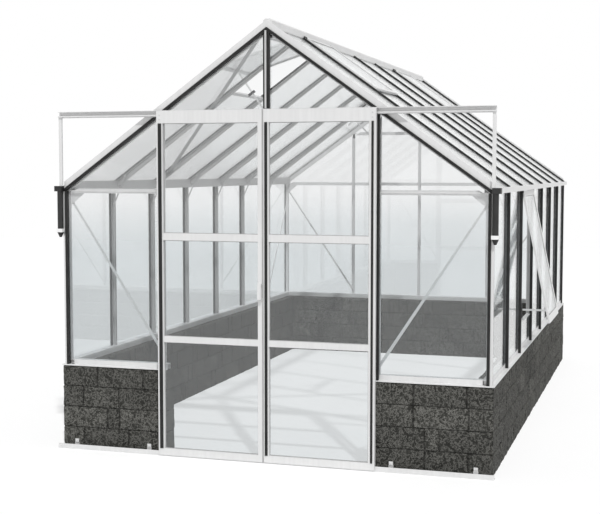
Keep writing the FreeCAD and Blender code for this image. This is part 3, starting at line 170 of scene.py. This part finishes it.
def aluminium(name, low, high, stretch):
    """Satin extruded aluminium with faint drawing lines and a cloudy oxide bloom."""
    material, graph, shader = new_material(name)
    lines = noise_value(graph, texture_place(graph, stretch), scale=60.0, detail=3.0)
    cloud = noise_value(graph, texture_place(graph), scale=3.0, detail=5.0)
    tone = combine(graph, "MULTIPLY", lines, cloud)
    graph.links.new(ramp(graph, tone, ((0.1, low), (0.5, high))), shader.inputs["Base Color"])
    graph.links.new(span(graph, cloud, low=0.34, high=0.50), shader.inputs["Roughness"])
    shader.inputs["Metallic"].default_value = 0.3
    bump(graph, shader, lines, strength=0.15, distance=0.0004)
    return material


MATT_SPREAD = 0.06


def plastic(name, low, high, roughness, grain, shine):
    """Moulded or extruded plastic with a fine matt grain."""
    material, graph, shader = new_material(name)
    cloud = noise_value(graph, texture_place(graph), scale=9.0, detail=5.0)
    fine = noise_value(graph, texture_place(graph), scale=grain, detail=2.0)
    graph.links.new(ramp(graph, cloud, ((0.3, low), (0.7, high))), shader.inputs["Base Color"])
    matt = span(graph, fine, low=roughness - MATT_SPREAD, high=roughness + MATT_SPREAD)
    graph.links.new(matt, shader.inputs["Roughness"])
    shader.inputs["Specular IOR Level"].default_value = shine
    bump(graph, shader, fine, strength=0.2, distance=0.0003)
    return material


FACE_ON_MIRROR = 0.07
GRAZING_POWER = 5.0
MIRROR_TINT = (0.96, 0.97, 0.97, 1.0)
BLUR_SPREAD = 0.03
# Heights, in metres, between which the panes' tint fades from a painted reflection, darker low down, to the
# plain tint
REFLECTION_FADE_LOW = 1.20
REFLECTION_FADE_HIGH = 1.50
# Tint low down with a painted reflection in it, and the plain tint above
TINT_WITH_PAINTED_REFLECTION = (0.905, 0.918, 0.923)
PLAIN_TINT = (0.968, 0.970, 0.971)


def window_glass(name, blur, ripple):
    """Horticultural glass: a faint tint, made deeper low down by a painted reflection, and a mirror that
    grows at grazing angles.
    """
    material, graph, shader = new_material(name)
    wave = noise_value(graph, texture_place(graph), scale=1.6, detail=2.0)
    body = graph.nodes.new("ShaderNodeBsdfTransparent")
    split = graph.nodes.new("ShaderNodeSeparateXYZ")
    graph.links.new(texture_place(graph), split.inputs["Vector"])
    rise = graph.nodes.new("ShaderNodeMapRange")
    rise.inputs["From Min"].default_value = REFLECTION_FADE_LOW
    rise.inputs["From Max"].default_value = REFLECTION_FADE_HIGH
    graph.links.new(split.outputs["Z"], rise.inputs["Value"])
    # Painted reflection: the tint darkens towards the bottom of the panes, by height
    tint_and_painted_reflection = ramp(graph, rise.outputs["Result"], ((0.0, TINT_WITH_PAINTED_REFLECTION), (1.0, PLAIN_TINT)))
    cloud = ramp(graph, wave, ((0.3, grey(0.985)), (0.7, grey(1.0))))
    graph.links.new(multiply_colours(graph, tint_and_painted_reflection, cloud), body.inputs["Color"])
    shader.inputs["Base Color"].default_value = MIRROR_TINT
    shader.inputs["Metallic"].default_value = 1.0
    graph.links.new(span(graph, wave, low=blur, high=blur + BLUR_SPREAD), shader.inputs["Roughness"])
    if ripple:
        dimples = noise_value(graph, texture_place(graph), scale=45.0, detail=2.0)
        bump(graph, shader, dimples, strength=ripple, distance=0.002)
    slant = graph.nodes.new("ShaderNodeLayerWeight")
    slant.inputs["Blend"].default_value = 0.5
    grazing = graph.nodes.new("ShaderNodeMath")
    grazing.operation = "POWER"
    grazing.inputs[1].default_value = GRAZING_POWER
    graph.links.new(slant.outputs["Facing"], grazing.inputs[0])
    blend = graph.nodes.new("ShaderNodeMixShader")
    graph.links.new(span(graph, grazing.outputs["Value"], FACE_ON_MIRROR, 1.0), blend.inputs["Fac"])
    graph.links.new(body.outputs["BSDF"], blend.inputs[1])
    graph.links.new(shader.outputs["BSDF"], blend.inputs[2])
    graph.links.new(blend.outputs["Shader"], graph.nodes["Material Output"].inputs["Surface"])
    return material


STONE_DARK = (0.014, 0.014, 0.012)
STONE_MID = (0.035, 0.035, 0.031)
STONE_PALE = (0.072, 0.071, 0.065)
STONE_CHIP = (0.235, 0.232, 0.215, 1.0)


def split_stone(name):
    """Dark split-face concrete: mottled anthracite, pale chips and ridges, each block a little different."""
    material, graph, shader = new_material(name)
    place = texture_place(graph)
    mottle = noise_value(graph, place, scale=14.0, detail=8.0, roughness=0.65)
    speck = noise_value(graph, place, scale=95.0, detail=4.0, roughness=0.7)
    body = ramp(graph, mottle, ((0.28, STONE_DARK), (0.52, STONE_MID), (0.76, STONE_PALE)))
    offset = graph.nodes.new("ShaderNodeMath")
    offset.operation = "SUBTRACT"
    offset.inputs[1].default_value = 0.5
    graph.links.new(noise_value(graph, place, scale=46.0, detail=6.0, roughness=0.66), offset.inputs[0])
    ridge = graph.nodes.new("ShaderNodeMath")
    ridge.operation = "ABSOLUTE"
    graph.links.new(offset.outputs["Value"], ridge.inputs[0])
    marks = ramp(graph, ridge.outputs["Value"], ((0.0, grey(0.85)), (0.04, grey(0.0))))
    dots = ramp(graph, speck, ((0.56, grey(0.0)), (0.74, grey(0.7))))
    blend = graph.nodes.new("ShaderNodeMix")
    blend.data_type = "RGBA"
    graph.links.new(combine(graph, "MAXIMUM", marks, dots), blend.inputs["Factor"])
    graph.links.new(body, blend.inputs["A"])
    blend.inputs["B"].default_value = STONE_CHIP
    shade = graph.nodes.new("ShaderNodeAttribute")
    shade.attribute_name = "shade"
    tone = ramp(graph, shade.outputs["Fac"], ((0.0, grey(0.74)), (1.0, grey(1.0))))
    stone = multiply_colours(graph, blend.outputs["Result"], tone)
    graph.links.new(stone, shader.inputs["Base Color"])
    graph.links.new(span(graph, mottle, low=0.80, high=0.98), shader.inputs["Roughness"])
    shader.inputs["Specular IOR Level"].default_value = 0.2
    bump(graph, shader, combine(graph, "ADD", speck, mottle), strength=0.8, distance=0.006)
    return material


DRAWN = (1, 1, 0.05)
EVEN = (1, 1, 1)
FRAME_METAL = aluminium("frame_metal", grey(0.64), grey(0.72), DRAWN)
# Painted shade: the bars' aluminium is the frame's metal drawn darker, as it looks in shade inside the house
BAR_METAL_PAINTED_SHADE = aluminium("bar_metal_painted_shade", grey(0.40), grey(0.48), DRAWN)
BOLT_METAL = aluminium("bolt_metal", grey(0.50), grey(0.64), EVEN)
STRIP_BLACK = plastic("strip_black", grey(0.010), grey(0.020), roughness=0.45, grain=260.0, shine=0.25)
SEAL_GREY = plastic("seal_grey", grey(0.34), grey(0.42), roughness=0.7, grain=320.0, shine=0.2)
FITTING_BLACK = plastic("fitting_black", grey(0.014), grey(0.030), roughness=0.5, grain=180.0, shine=0.3)
FITTING_WHITE = plastic("fitting_white", grey(0.72), grey(0.80), roughness=0.4, grain=220.0, shine=0.5)
GLASS = window_glass("pane_glass", blur=0.0, ripple=0.0)
ROOF_GLASS = window_glass("roof_pane_glass", blur=0.22, ripple=0.25)
STONE = split_stone("wall_stone")
SLOT_MATERIALS = {
    "aluminium_frame": FRAME_METAL, "cap_strip": STRIP_BLACK, "glazing": GLASS,
    "wall_block": STONE, "black_fitting": FITTING_BLACK, "pale_fitting": FITTING_WHITE,
}

for subpart in frame["record"]["subparts"]:
    mesh = nodes[subpart["node"]].data
    mesh.materials.clear()
    mesh.materials.append(SLOT_MATERIALS[subpart["material_slot"]])
for name in ("roof_glass", *(f"{vent}_glass" for vent in VENTS)):
    nodes[name].data.materials[0] = ROOF_GLASS
# Painted shade: posts, bars, struts and eaves beams get the darker copy of the frame's aluminium
for name in ("side_posts", "roof_bars", "knee_struts", "eaves_beams"):
    nodes[name].data.materials[0] = BAR_METAL_PAINTED_SHADE


# Meshes

def add_piece(name, work, material, body):
    """Turns a finished bmesh into a piece that rides on a body."""
    bmesh.ops.recalc_face_normals(work, faces=work.faces)
    mesh = bpy.data.meshes.new(name)
    work.to_mesh(mesh)
    work.free()
    mesh.materials.append(material)
    return place_piece(name, mesh, body)


def place_piece(name, mesh, body):
    piece = bpy.data.objects.new(name, mesh)
    scene.collection.objects.link(piece)
    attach(piece, body)
    return piece


PARALLEL = 0.999


def point_key(point):
    """A point's coordinates to the micrometre, alike for all its copies in a mesh."""
    return tuple(round(value, 6) for value in point)


class Solid:
    """One closed solid of a node: its points, its box and the directions of its faces."""

    def __init__(self, faces):
        self.points = [Vector(corner) for corner in {corner for face in faces for corner in face[2]}]
        self.low = Vector(min(point[axis] for point in self.points) for axis in range(3))
        self.high = Vector(max(point[axis] for point in self.points) for axis in range(3))
        self.middle = (self.low + self.high) / 2
        self.areas = []
        for normal, area, _ in faces:
            self.note_face(normal, area)

    def note_face(self, normal, area):
        for entry in self.areas:
            if abs(entry[0].dot(normal)) > PARALLEL:
                entry[1] += area
                return
        self.areas.append([normal, area])

    def directions(self):
        """Along, across and through a flat bar or a pane."""
        ranked = sorted(self.areas, key=lambda entry: -entry[1])
        through = ranked[0][0]
        across = ranked[1][0]
        return across.cross(through), across, through

    def reach(self, direction):
        """Lowest and highest extent from the middle along a direction."""
        extents = [(point - self.middle).dot(direction) for point in self.points]
        return min(extents), max(extents)


def band(work, first, second):
    """Faces between two loops of points that have the same count."""
    count = len(first)
    for index in range(count):
        following = (index + 1) % count
        work.faces.new((first[index], first[following], second[following], second[index]))


def level_loop(work, plan, z):
    """Loop of points over the corners of a plan, at one height."""
    return [work.verts.new((x, y, z)) for x, y in plan]


def skin(work, loops):
    """Closed shell over loops of points that have the same count."""
    for first, second in zip(loops, loops[1:]):
        band(work, first, second)
    work.faces.new(loops[0])
    work.faces.new(loops[-1])


def facing(direction, wanted):
    return direction if direction.dot(wanted) > 0 else -direction


def solids(name):
    """Closed solids of a node's mesh, whose faces follow one another."""
    mesh = nodes[name].data
    found = []
    faces = []
    open_edges = set()
    for face in mesh.polygons:
        corners = [point_key(mesh.vertices[index].co) for index in face.vertices]
        faces.append((face.normal.copy(), face.area, corners))
        open_edges ^= {frozenset(pair) for pair in zip(corners, corners[1:] + corners[:1])}
        if not open_edges:
            found.append(Solid(faces))
            faces = []
    return found


# Rough wall blocks

GRID_STEP = 0.019
FACE_SET = 0.00125
PROBE = 0.002
FACE_ROUGH = 0.007
EDGE_STEP = 0.006
RIM_WIDTH = 0.009
RIM_DEPTH = 0.011
RIM_EVEN = 0.75
RIM_UNEVEN = 0.5
FACE_LEVEL = 0.45
FACE_SWING = 0.6
GRAIN_SCALE = 15
GRAIN_FRACTAL = (0.9, 2.1, 4)
BROKEN_SCALE = 40
BLOCK_STEPS = (3.7, 1.3, 2.9)
NEAR = 1e-5


def rim_pull(distance, broken):
    """How far a block's chipped rim falls back at a distance from its edge."""
    share = max(0.0, 1 - distance / RIM_WIDTH)
    return RIM_DEPTH * share * share * (RIM_EVEN + RIM_UNEVEN * broken)


def covered(point, axis, sign, neighbours):
    """Whether another block lies against this point of a block's side."""
    probe = point.copy()
    probe[axis] += sign * PROBE
    return any(all(block.low[i] - NEAR < probe[i] < block.high[i] + NEAR for i in range(3))
               for block in neighbours)


def rough_point(point, low, high, shift, neighbours):
    """Pulls a point of a block's side inwards: split face, and chipped rims along the joints."""
    moved = point.copy()
    grain = noise.fractal(point * GRAIN_SCALE + shift, *GRAIN_FRACTAL)
    broken = noise.noise(point * BROKEN_SCALE + shift)
    upright = min(point.z - low.z, high.z - point.z)
    for axis, other in ((0, 1), (1, 0)):
        from_low = point[axis] - low[axis]
        from_high = high[axis] - point[axis]
        if min(from_low, from_high) > NEAR:
            continue
        sign = -1 if from_low < from_high else 1
        rim = min(point[other] - low[other], high[other] - point[other])
        if covered(point, axis, sign, neighbours):
            pull = rim_pull(rim, broken)
        else:
            split = FACE_ROUGH * max(0.0, FACE_LEVEL + FACE_SWING * grain)
            pull = FACE_SET + split + rim_pull(min(upright, rim), broken)
        moved[axis] -= sign * pull
    return moved


def stations(length):
    """Shares of a length at its ends, close to them, and evenly spaced between."""
    count = max(2, round(length / GRID_STEP))
    edge = EDGE_STEP / length
    return [0.0] + [edge + (1 - 2 * edge) * i / count for i in range(count + 1)] + [1.0]


def outline(low, high):
    """Points round a block's plan."""
    corners = [(low.x, low.y), (high.x, low.y), (high.x, high.y), (low.x, high.y)]
    points = []
    for (x0, y0), (x1, y1) in zip(corners, corners[1:] + corners[:1]):
        shares = stations(max(abs(x1 - x0), abs(y1 - y0)))
        points += [(x0 + (x1 - x0) * share, y0 + (y1 - y0) * share) for share in shares[:-1]]
    return points


def touching(first, second):
    return all(first.low[i] - PROBE < second.high[i] and second.low[i] - PROBE < first.high[i]
               for i in range(3))


def rough_block(work, block, number, neighbours, layer):
    """Block whose sides are split faces, all moved inwards only."""
    low, high = block.low, block.high
    shift = Vector([number * step for step in BLOCK_STEPS])
    shade = noise.cell(shift)
    plan = outline(low, high)
    rings = []
    for share in stations(high.z - low.z):
        z = low.z + (high.z - low.z) * share
        ring = []
        for x, y in plan:
            vert = work.verts.new(rough_point(Vector((x, y, z)), low, high, shift, neighbours))
            vert[layer] = shade
            ring.append(vert)
        rings.append(ring)
    skin(work, rings)


def split_wall():
    blocks = solids("wall_blocks")
    work = bmesh.new()
    layer = work.verts.layers.float.new("shade")
    for number, block in enumerate(blocks):
        neighbours = [other for other in blocks if other is not block and touching(block, other)]
        rough_block(work, block, number, neighbours, layer)
    piece = add_piece("split_blocks", work, STONE, "house")
    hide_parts("wall_blocks")


# Frame sections, as shallower copies of their nodes

# Depths count inwards from the outer face of the panes
SLIM_FROM = 0.007
NODE_DEPTH = 0.039
SLIM_DEPTH = 0.024
SLIM_REACH = 0.060
BAR_DEPTH = 0.014
BAR_HALF = 0.0145
BAR_NARROW = 0.65
BAR_NEAR = 0.030
RAFTER_FROM = 0.030
RAFTER_DEPTH = 0.057
RAFTER_SLIM = 0.034
APEX_HALF = 0.03
BRACE_WIDER = 2.4
# Heights above which a point counts as part of the roof
NARROW_FROM = 1.2
EAVES_TOP = 1.6

side_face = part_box("side_glass")[1][0]
gable_face, rear_face = (corner[1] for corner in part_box("gable_glass"))
roof_pane = max(solids("roof_glass"), key=lambda pane: pane.middle.x)
roof_up = facing(roof_pane.directions()[2], Vector((1, 0, 1)))
roof_face = max(point.dot(roof_up) for point in roof_pane.points)
bar_middles = sorted({round(bar.middle.y, 4) for bar in solids("roof_bars")})


def roof_depth(point):
    return roof_face - abs(point.x) * roof_up.x - point.z * roof_up.z


def slim_shift(depth, slim=SLIM_DEPTH):
    """How far a point behind the glass moves out towards it."""
    if not SLIM_FROM < depth < SLIM_REACH:
        return 0.0
    return (min(depth, NODE_DEPTH) - SLIM_FROM) * (NODE_DEPTH - slim) / (NODE_DEPTH - SLIM_FROM)


def narrow_shift(y):
    """How far a point of a roof bar, or of a sill that ends on one, moves towards the bar's middle."""
    aside = y - min(bar_middles, key=lambda middle: abs(middle - y))
    if abs(aside) > BAR_NEAR:
        return 0.0
    return -math.copysign(min(abs(aside), BAR_HALF) * (1 - BAR_NARROW), aside)


def rafter_shift(point):
    """How far a point of a rafter's underside moves up, square to the roof."""
    depth = min(roof_depth(point), RAFTER_DEPTH)
    return max(0.0, depth - RAFTER_FROM) * (RAFTER_DEPTH - RAFTER_SLIM) / (RAFTER_DEPTH - RAFTER_FROM)


def slimmed(point, faces):
    """Place of a point of the shallower frame."""
    moved = point.copy()
    if "side" in faces:
        moved.x += math.copysign(slim_shift(side_face - abs(point.x)), point.x)
    if "gable" in faces:
        moved.y += slim_shift(rear_face - point.y) - slim_shift(point.y - gable_face)
    if "roof" in faces and point.z > EAVES_TOP:
        moved.z += slim_shift(roof_depth(point)) / roof_up.z
    if "bar" in faces and point.z > EAVES_TOP:
        moved.z += slim_shift(roof_depth(point), BAR_DEPTH) / roof_up.z
    if "narrow" in faces and point.z > NARROW_FROM:
        moved.y += narrow_shift(point.y)
    if "rafter" in faces:
        if abs(point.x) < APEX_HALF:
            moved.z += rafter_shift(point) / roof_up.z
        else:
            moved.x += math.copysign(rafter_shift(point) / roof_up.x, point.x)
    if "under_rafter" in faces and roof_depth(point) < SLIM_REACH:
        moved.z += rafter_shift(point) / roof_up.z
    return moved


# Which of the ways above move each node's points
SLIM_FACES = {
    "side_posts": ("side",),
    "corner_posts": ("side", "gable"),
    "gable_posts": ("gable", "under_rafter"),
    "gable_ties": ("side", "gable"),
    "gable_rafters": ("gable", "rafter"),
    "eaves_beams": ("gable",),
    "knee_struts": ("side", "bar"),
    "diagonal_braces": ("side", "gable", "bar"),
    "gusset_plates": ("side", "gable"),
    "cross_sills": ("side", "roof", "narrow"),
    "roof_bars": ("bar", "narrow"),
}


def widen_roof_braces(mesh):
    """Roof braces as the photograph shows them: wider flat bars, in the roof bars' darker metal, whose
    darkness is painted shade.
    """
    owners = {}
    for brace in solids("diagonal_braces"):
        if brace.middle.z > EAVES_TOP:
            owners.update({point_key(point): brace for point in brace.points})
    mesh.materials.append(BAR_METAL_PAINTED_SHADE)
    keys = [point_key(vertex.co) for vertex in mesh.vertices]
    for face in mesh.polygons:
        if all(keys[index] in owners for index in face.vertices):
            face.material_index = 1
    for vertex, key in zip(mesh.vertices, keys):
        if key in owners:
            across = owners[key].directions()[1]
            aside = (vertex.co - owners[key].middle).dot(across)
            vertex.co += across * (aside * (BRACE_WIDER - 1))


def slim_frame():
    """Copies of the frame's nodes with their points moved, in place of the nodes."""
    for name, faces in SLIM_FACES.items():
        mesh = nodes[name].data.copy()
        if name == "diagonal_braces":
            widen_roof_braces(mesh)
        for vertex in mesh.vertices:
            vertex.co = slimmed(vertex.co, faces)
        piece = place_piece(f"slim_{name}", mesh, "house")
        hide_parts(name)


FOOT_FROM = 0.012
FOOT_BEVEL = 0.0015
FOOT_DROP = 0.0005


def corner_feet():
    """Corner connectors of the sills, round the feet of the corner posts."""
    work = bmesh.new()
    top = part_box("base_sills")[1][2] - FOOT_DROP
    for post in solids("corner_posts"):
        side = math.copysign(1, post.middle.x)
        face, inward = (gable_face, 1) if post.middle.y < (gable_face + rear_face) / 2 else (rear_face, -1)
        square = ((FOOT_FROM, FOOT_FROM), (NODE_DEPTH, FOOT_FROM), (NODE_DEPTH, NODE_DEPTH),
                  (FOOT_FROM, NODE_DEPTH))
        plan = [(side * (side_face - a), face + inward * b) for a, b in square]
        skin(work, [level_loop(work, plan, z) for z in (post.low.z, top)])
    bmesh.ops.bevel(work, geom=work.edges[:], offset=FOOT_BEVEL, segments=2, affect="EDGES")
    add_piece("corner_feet", work, FRAME_METAL, "house")


# Capping strips of the roof and the side walls

ROOF_STRIP = 0.012
SIDE_STRIP = 0.018
CORNER_STRIP = 0.012
CORNER_RIM = 0.05
STRIP_EASE = 0.002


def capping(work, strip, thick, narrow=1.0):
    """Strip on the panes, with its two outer edges eased."""
    along, out, side = strip.directions()
    out = facing(out, Vector((strip.middle.x, 0, abs(strip.middle.x))))
    foot = strip.middle + out * strip.reach(out)[0]
    half = strip.reach(side)[1] * narrow
    flank = thick - STRIP_EASE
    crown = half - STRIP_EASE
    section = ((-half, 0), (half, 0), (half, flank), (crown, thick), (-crown, thick), (-half, flank))
    loops = []
    for stop in strip.reach(along):
        centre = foot + along * stop
        loops.append([work.verts.new(centre + side * a + out * b) for a, b in section])
    skin(work, loops)


def slim_strips(name, thick, narrow=1.0):
    """Thinner strips in place of a node, thinnest beside the gables."""
    work = bmesh.new()
    for strip in solids(name):
        rim = min(strip.middle.y - gable_face, rear_face - strip.middle.y)
        if rim > CORNER_RIM:
            capping(work, strip, thick, narrow)
        else:
            capping(work, strip, CORNER_STRIP)
    piece = add_piece(f"slim_{name}", work, STRIP_BLACK, "house")
    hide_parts(name)


# Bolts and screws

WASHER_RADIUS = 0.0068
WASHER_HEIGHT = 0.0012
WASHER_SIDES = 14
HEAD_RADIUS = 0.0056
HEAD_HEIGHT = 0.0038
HEAD_CHAMFER = 0.0008
HEAD_SIDES = 6
SCREW_RADIUS = 0.0048
SCREW_HEIGHT = 0.0022
SCREW_SIDES = 12
DOME_ANGLES = (0.0, 0.45, 0.85, 1.2)
FLAT_BAR_LAP = 0.008
FOOT_RISE = 0.016
GUSSET_BOLT_IN = 0.45


def turned_stack(work, place, direction, rings, segments):
    """Stacked rings of (height, radius) along a direction, closed at both ends."""
    side = direction.orthogonal().normalized()
    other = direction.cross(side)
    loops = []
    for height, radius in rings:
        loop = []
        for index in range(segments):
            angle = 2 * math.pi * index / segments
            offset = (side * math.cos(angle) + other * math.sin(angle)) * radius
            loop.append(work.verts.new(place + direction * height + offset))
        loops.append(loop)
    skin(work, loops)


def bolt(work, place, direction):
    """Hexagon head on a washer."""
    washer = ((0, WASHER_RADIUS), (WASHER_HEIGHT, WASHER_RADIUS))
    turned_stack(work, place, direction, washer, WASHER_SIDES)
    top = WASHER_HEIGHT + HEAD_HEIGHT
    head = (
        (WASHER_HEIGHT, HEAD_RADIUS),
        (top - HEAD_CHAMFER, HEAD_RADIUS),
        (top, HEAD_RADIUS - HEAD_CHAMFER),
    )
    turned_stack(work, place, direction, head, HEAD_SIDES)


def pan_screw(work, place, direction):
    """Domed screw head."""
    rings = [(SCREW_HEIGHT * math.sin(angle), SCREW_RADIUS * math.cos(angle)) for angle in DOME_ANGLES]
    turned_stack(work, place, direction, rings, SCREW_SIDES)


def bar_bolts(work, bar, outwards, faces):
    """One bolt at each end of a flat bar, on the face that looks the given way."""
    along, _, through = bar.directions()
    face = facing(through, outwards)
    low, high = bar.reach(along)
    lift = face * bar.reach(face)[1]
    for stop in (low + FLAT_BAR_LAP, high - FLAT_BAR_LAP):
        bolt(work, slimmed(bar.middle + along * stop + lift, faces), face)


def gusset_bolts(work, plate, inwards):
    """Bolts between the corners of a gusset plate and its middle."""
    face = facing(plate.directions()[2], inwards)
    centre = sum(plate.points, Vector()) / len(plate.points)
    lift = face * ((plate.high - plate.low).dot(Vector(map(abs, face))) / 2)
    for corner in {tuple(round(value, 5) for value in point.xz) for point in plate.points}:
        place = Vector((corner[0], plate.middle.y, corner[1]))
        inner = Vector((centre.x, plate.middle.y, centre.z))
        seat = place.lerp(inner, GUSSET_BOLT_IN) + lift
        bolt(work, slimmed(seat, SLIM_FACES["gusset_plates"]), face)


def frame_bolts():
    """Bolts of braces, struts and plates, and at both ends of the side posts."""
    low, high = cad_box
    heart = (Vector(low) + Vector(high)) / 2
    work = bmesh.new()
    for brace in solids("diagonal_braces"):
        bar_bolts(work, brace, heart - brace.middle, SLIM_FACES["diagonal_braces"])
    posts = solids("side_posts")
    for strut in solids("knee_struts"):
        post = min(posts, key=lambda item: (item.middle.xy - strut.middle.xy).length)
        bar_bolts(work, strut, Vector((0, strut.middle.y - post.middle.y, 0)), SLIM_FACES["knee_struts"])
    for plate in solids("gusset_plates"):
        gusset_bolts(work, plate, heart - plate.middle)
    for post in posts:
        inward = Vector((-1 if post.middle.x > 0 else 1, 0, 0))
        x = post.low.x if post.middle.x > 0 else post.high.x
        for z in (post.low.z + FOOT_RISE, post.high.z - FOOT_RISE):
            bolt(work, slimmed(Vector((x, post.middle.y, z)), SLIM_FACES["side_posts"]), inward)
    add_piece("frame_bolts", work, BOLT_METAL, "house")


STILE_SCREW_IN = 0.019
RAIL_SCREW_DROPS = (0.024, 0.050)


def leaf_screws(leaf):
    """Screws that hold a leaf's top rail in its outer stile."""
    low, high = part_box(f"{leaf}_frame")
    outer = low[0] + STILE_SCREW_IN if abs(low[0]) > abs(high[0]) else high[0] - STILE_SCREW_IN
    work = bmesh.new()
    for drop in RAIL_SCREW_DROPS:
        pan_screw(work, Vector((outer, low[1], high[2] - drop)), Vector((0, -1, 0)))
    add_piece(f"{leaf}_screws", work, BOLT_METAL, leaf)


CLIP_WALL = 0.004
TAB_HALF = 0.012
TAB_LAP = 0.006
TAB_RISE = 0.022


def clip_tabs():
    """Upright tabs of the bottom track's clips, each with its screw."""
    work = bmesh.new()
    for clip in solids("track_clips"):
        back = clip.high.y
        front = back - CLIP_WALL
        left = clip.middle.x - TAB_HALF
        right = clip.middle.x + TAB_HALF
        plan = ((left, front), (right, front), (right, back), (left, back))
        levels = (clip.high.z - TAB_LAP, clip.high.z + TAB_RISE)
        skin(work, [level_loop(work, plan, z) for z in levels])
        pan_screw(work, Vector((clip.middle.x, front, clip.high.z + TAB_RISE / 2)), Vector((0, -1, 0)))
    add_piece("clip_tabs", work, FRAME_METAL, "house")


BRUSH_WIDTH = 0.007
BRUSH_PROUD = 0.0012
BRUSH_TUFT = 0.004
BRUSH_LOW = 0.75


def meeting_brush():
    """Brush seal along the edge of the left leaf where the leaves meet, in short tufts; its grey line is
    partly painted shade, standing in for the shadow in the joint between the leaves.
    """
    low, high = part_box("door_left_frame")
    work = bmesh.new()
    tufts = int((high[2] - low[2]) / BRUSH_TUFT)
    loops = []
    for index in range(tufts + 1):
        z = low[2] + (high[2] - low[2]) * index / tufts
        proud = BRUSH_PROUD * (1.0 if index % 2 else BRUSH_LOW)
        plan = ((high[0] - BRUSH_WIDTH, low[1]), (high[0], low[1]), (high[0], low[1] - proud),
                (high[0] - BRUSH_WIDTH, low[1] - proud))
        loops.append(level_loop(work, plan, z))
    skin(work, loops)
    # Painted shade in part: the grey strip stands where the joint between the leaves lies in shadow
    add_piece("door_left_brush_painted_shade", work, SEAL_GREY, "door_left")


# Rubber seals round the panes of doors, vents and window

SEAL_LAP = 0.0071
SEAL_WIDTH = 0.0035
SEAL_PROUD = 0.0016


def seal_ring(work, pane, face):
    """Flat ring on one face of a pane, along the inner edge of its sash."""
    along, across, _ = pane.directions()
    half_along = pane.reach(along)[1] - SEAL_LAP
    half_across = pane.reach(across)[1] - SEAL_LAP
    rest = pane.middle + face * pane.reach(face)[1]
    loops = []
    for inset, lift in ((0, 0), (0, SEAL_PROUD), (SEAL_WIDTH, SEAL_PROUD), (SEAL_WIDTH, 0)):
        loop = []
        for a, b in ((-1, -1), (1, -1), (1, 1), (-1, 1)):
            place = rest + along * (a * (half_along - inset)) + across * (b * (half_across - inset))
            loop.append(work.verts.new(place + face * lift))
        loops.append(loop)
    for first, second in zip(loops, loops[1:] + loops[:1]):
        band(work, first, second)


def seals(sash):
    work = bmesh.new()
    for pane in solids(f"{sash}_glass"):
        through = pane.directions()[2]
        for face in (through, -through):
            seal_ring(work, pane, face)
    add_piece(f"{sash}_seals", work, SEAL_GREY, sash)


split_wall()
slim_frame()
corner_feet()
slim_strips("roof_strips", ROOF_STRIP, BAR_NARROW)
slim_strips("side_strips", SIDE_STRIP)
frame_bolts()
clip_tabs()
meeting_brush()
for leaf in LEAVES:
    leaf_screws(leaf)
    seals(leaf)
for sash in (*VENTS, "side_window"):
    seals(sash)


# Floor, light and camera

def seen_rays(graph):
    """1 for rays that show a surface, by themselves or through metal and glass."""
    paths = graph.nodes.new("ShaderNodeLightPath")
    seen = combine(graph, "MAXIMUM", paths.outputs["Is Camera Ray"], paths.outputs["Is Glossy Ray"])
    return combine(graph, "MAXIMUM", seen, paths.outputs["Is Transmission Ray"])


def floor():
    """White ground that partly glows where it is seen, and keeps the shadow."""
    material, graph, shader = new_material("floor_white")
    shader.inputs["Base Color"].default_value = (*grey(FLOOR_COLOUR), 1.0)
    shader.inputs["Roughness"].default_value = 0.9
    shader.inputs["Specular IOR Level"].default_value = 0.0
    glow = graph.nodes.new("ShaderNodeEmission")
    glow.inputs["Color"].default_value = WHITE
    glow.inputs["Strength"].default_value = BACKDROP
    blend = graph.nodes.new("ShaderNodeMixShader")
    graph.links.new(span(graph, seen_rays(graph), 0.0, FLOOR_GLOW), blend.inputs["Fac"])
    graph.links.new(shader.outputs["BSDF"], blend.inputs[1])
    graph.links.new(glow.outputs["Emission"], blend.inputs[2])
    graph.links.new(blend.outputs["Shader"], graph.nodes["Material Output"].inputs["Surface"])
    mesh = bpy.data.meshes.new("floor")
    reach = FLOOR_REACH
    corners = [(-reach, -reach, 0), (reach, -reach, 0), (reach, reach, 0), (-reach, reach, 0)]
    mesh.from_pydata(corners, [], [(0, 1, 2, 3)])
    mesh.materials.append(material)
    plane = bpy.data.objects.new("floor", mesh)
    scene.collection.objects.link(plane)


def studio_world():
    world = bpy.data.worlds.new("studio")
    scene.world = world
    world.use_nodes = True
    graph = world.node_tree
    sky = graph.nodes["Background"]
    sky.inputs["Color"].default_value = WHITE
    graph.links.new(span(graph, seen_rays(graph), AMBIENT, BACKDROP), sky.inputs["Strength"])


def sun():
    data = bpy.data.lights.new("sun", "SUN")
    data.energy = SUN_STRENGTH
    data.angle = SUN_ANGLE
    item = bpy.data.objects.new("sun", data)
    item.rotation_mode = "QUATERNION"
    item.rotation_quaternion = SUN_TRAVEL.to_track_quat("-Z", "Y")
    scene.collection.objects.link(item)


def camera():
    data = bpy.data.cameras.new("photo_view")
    data.sensor_width = SENSOR_WIDTH
    data.lens = SENSOR_WIDTH * VIEW_FOCAL
    item = bpy.data.objects.new("photo_view", data)
    ahead = Vector((-math.sin(VIEW_YAW), math.cos(VIEW_YAW), 0))
    lift = Vector((0, 0, 1))
    right = Vector((math.cos(VIEW_YAW), math.sin(VIEW_YAW), 0))
    forward = ahead * math.cos(VIEW_PITCH) + lift * math.sin(VIEW_PITCH)
    upward = lift * math.cos(VIEW_PITCH) - ahead * math.sin(VIEW_PITCH)
    across = right * math.cos(VIEW_ROLL) + upward * math.sin(VIEW_ROLL)
    top = upward * math.cos(VIEW_ROLL) - right * math.sin(VIEW_ROLL)
    basis = Matrix((across, top, -forward)).transposed().to_4x4()
    item.matrix_world = Matrix.Translation(VIEW_PLACE) @ basis
    scene.collection.objects.link(item)
    scene.camera = item


floor()
studio_world()
sun()
camera()
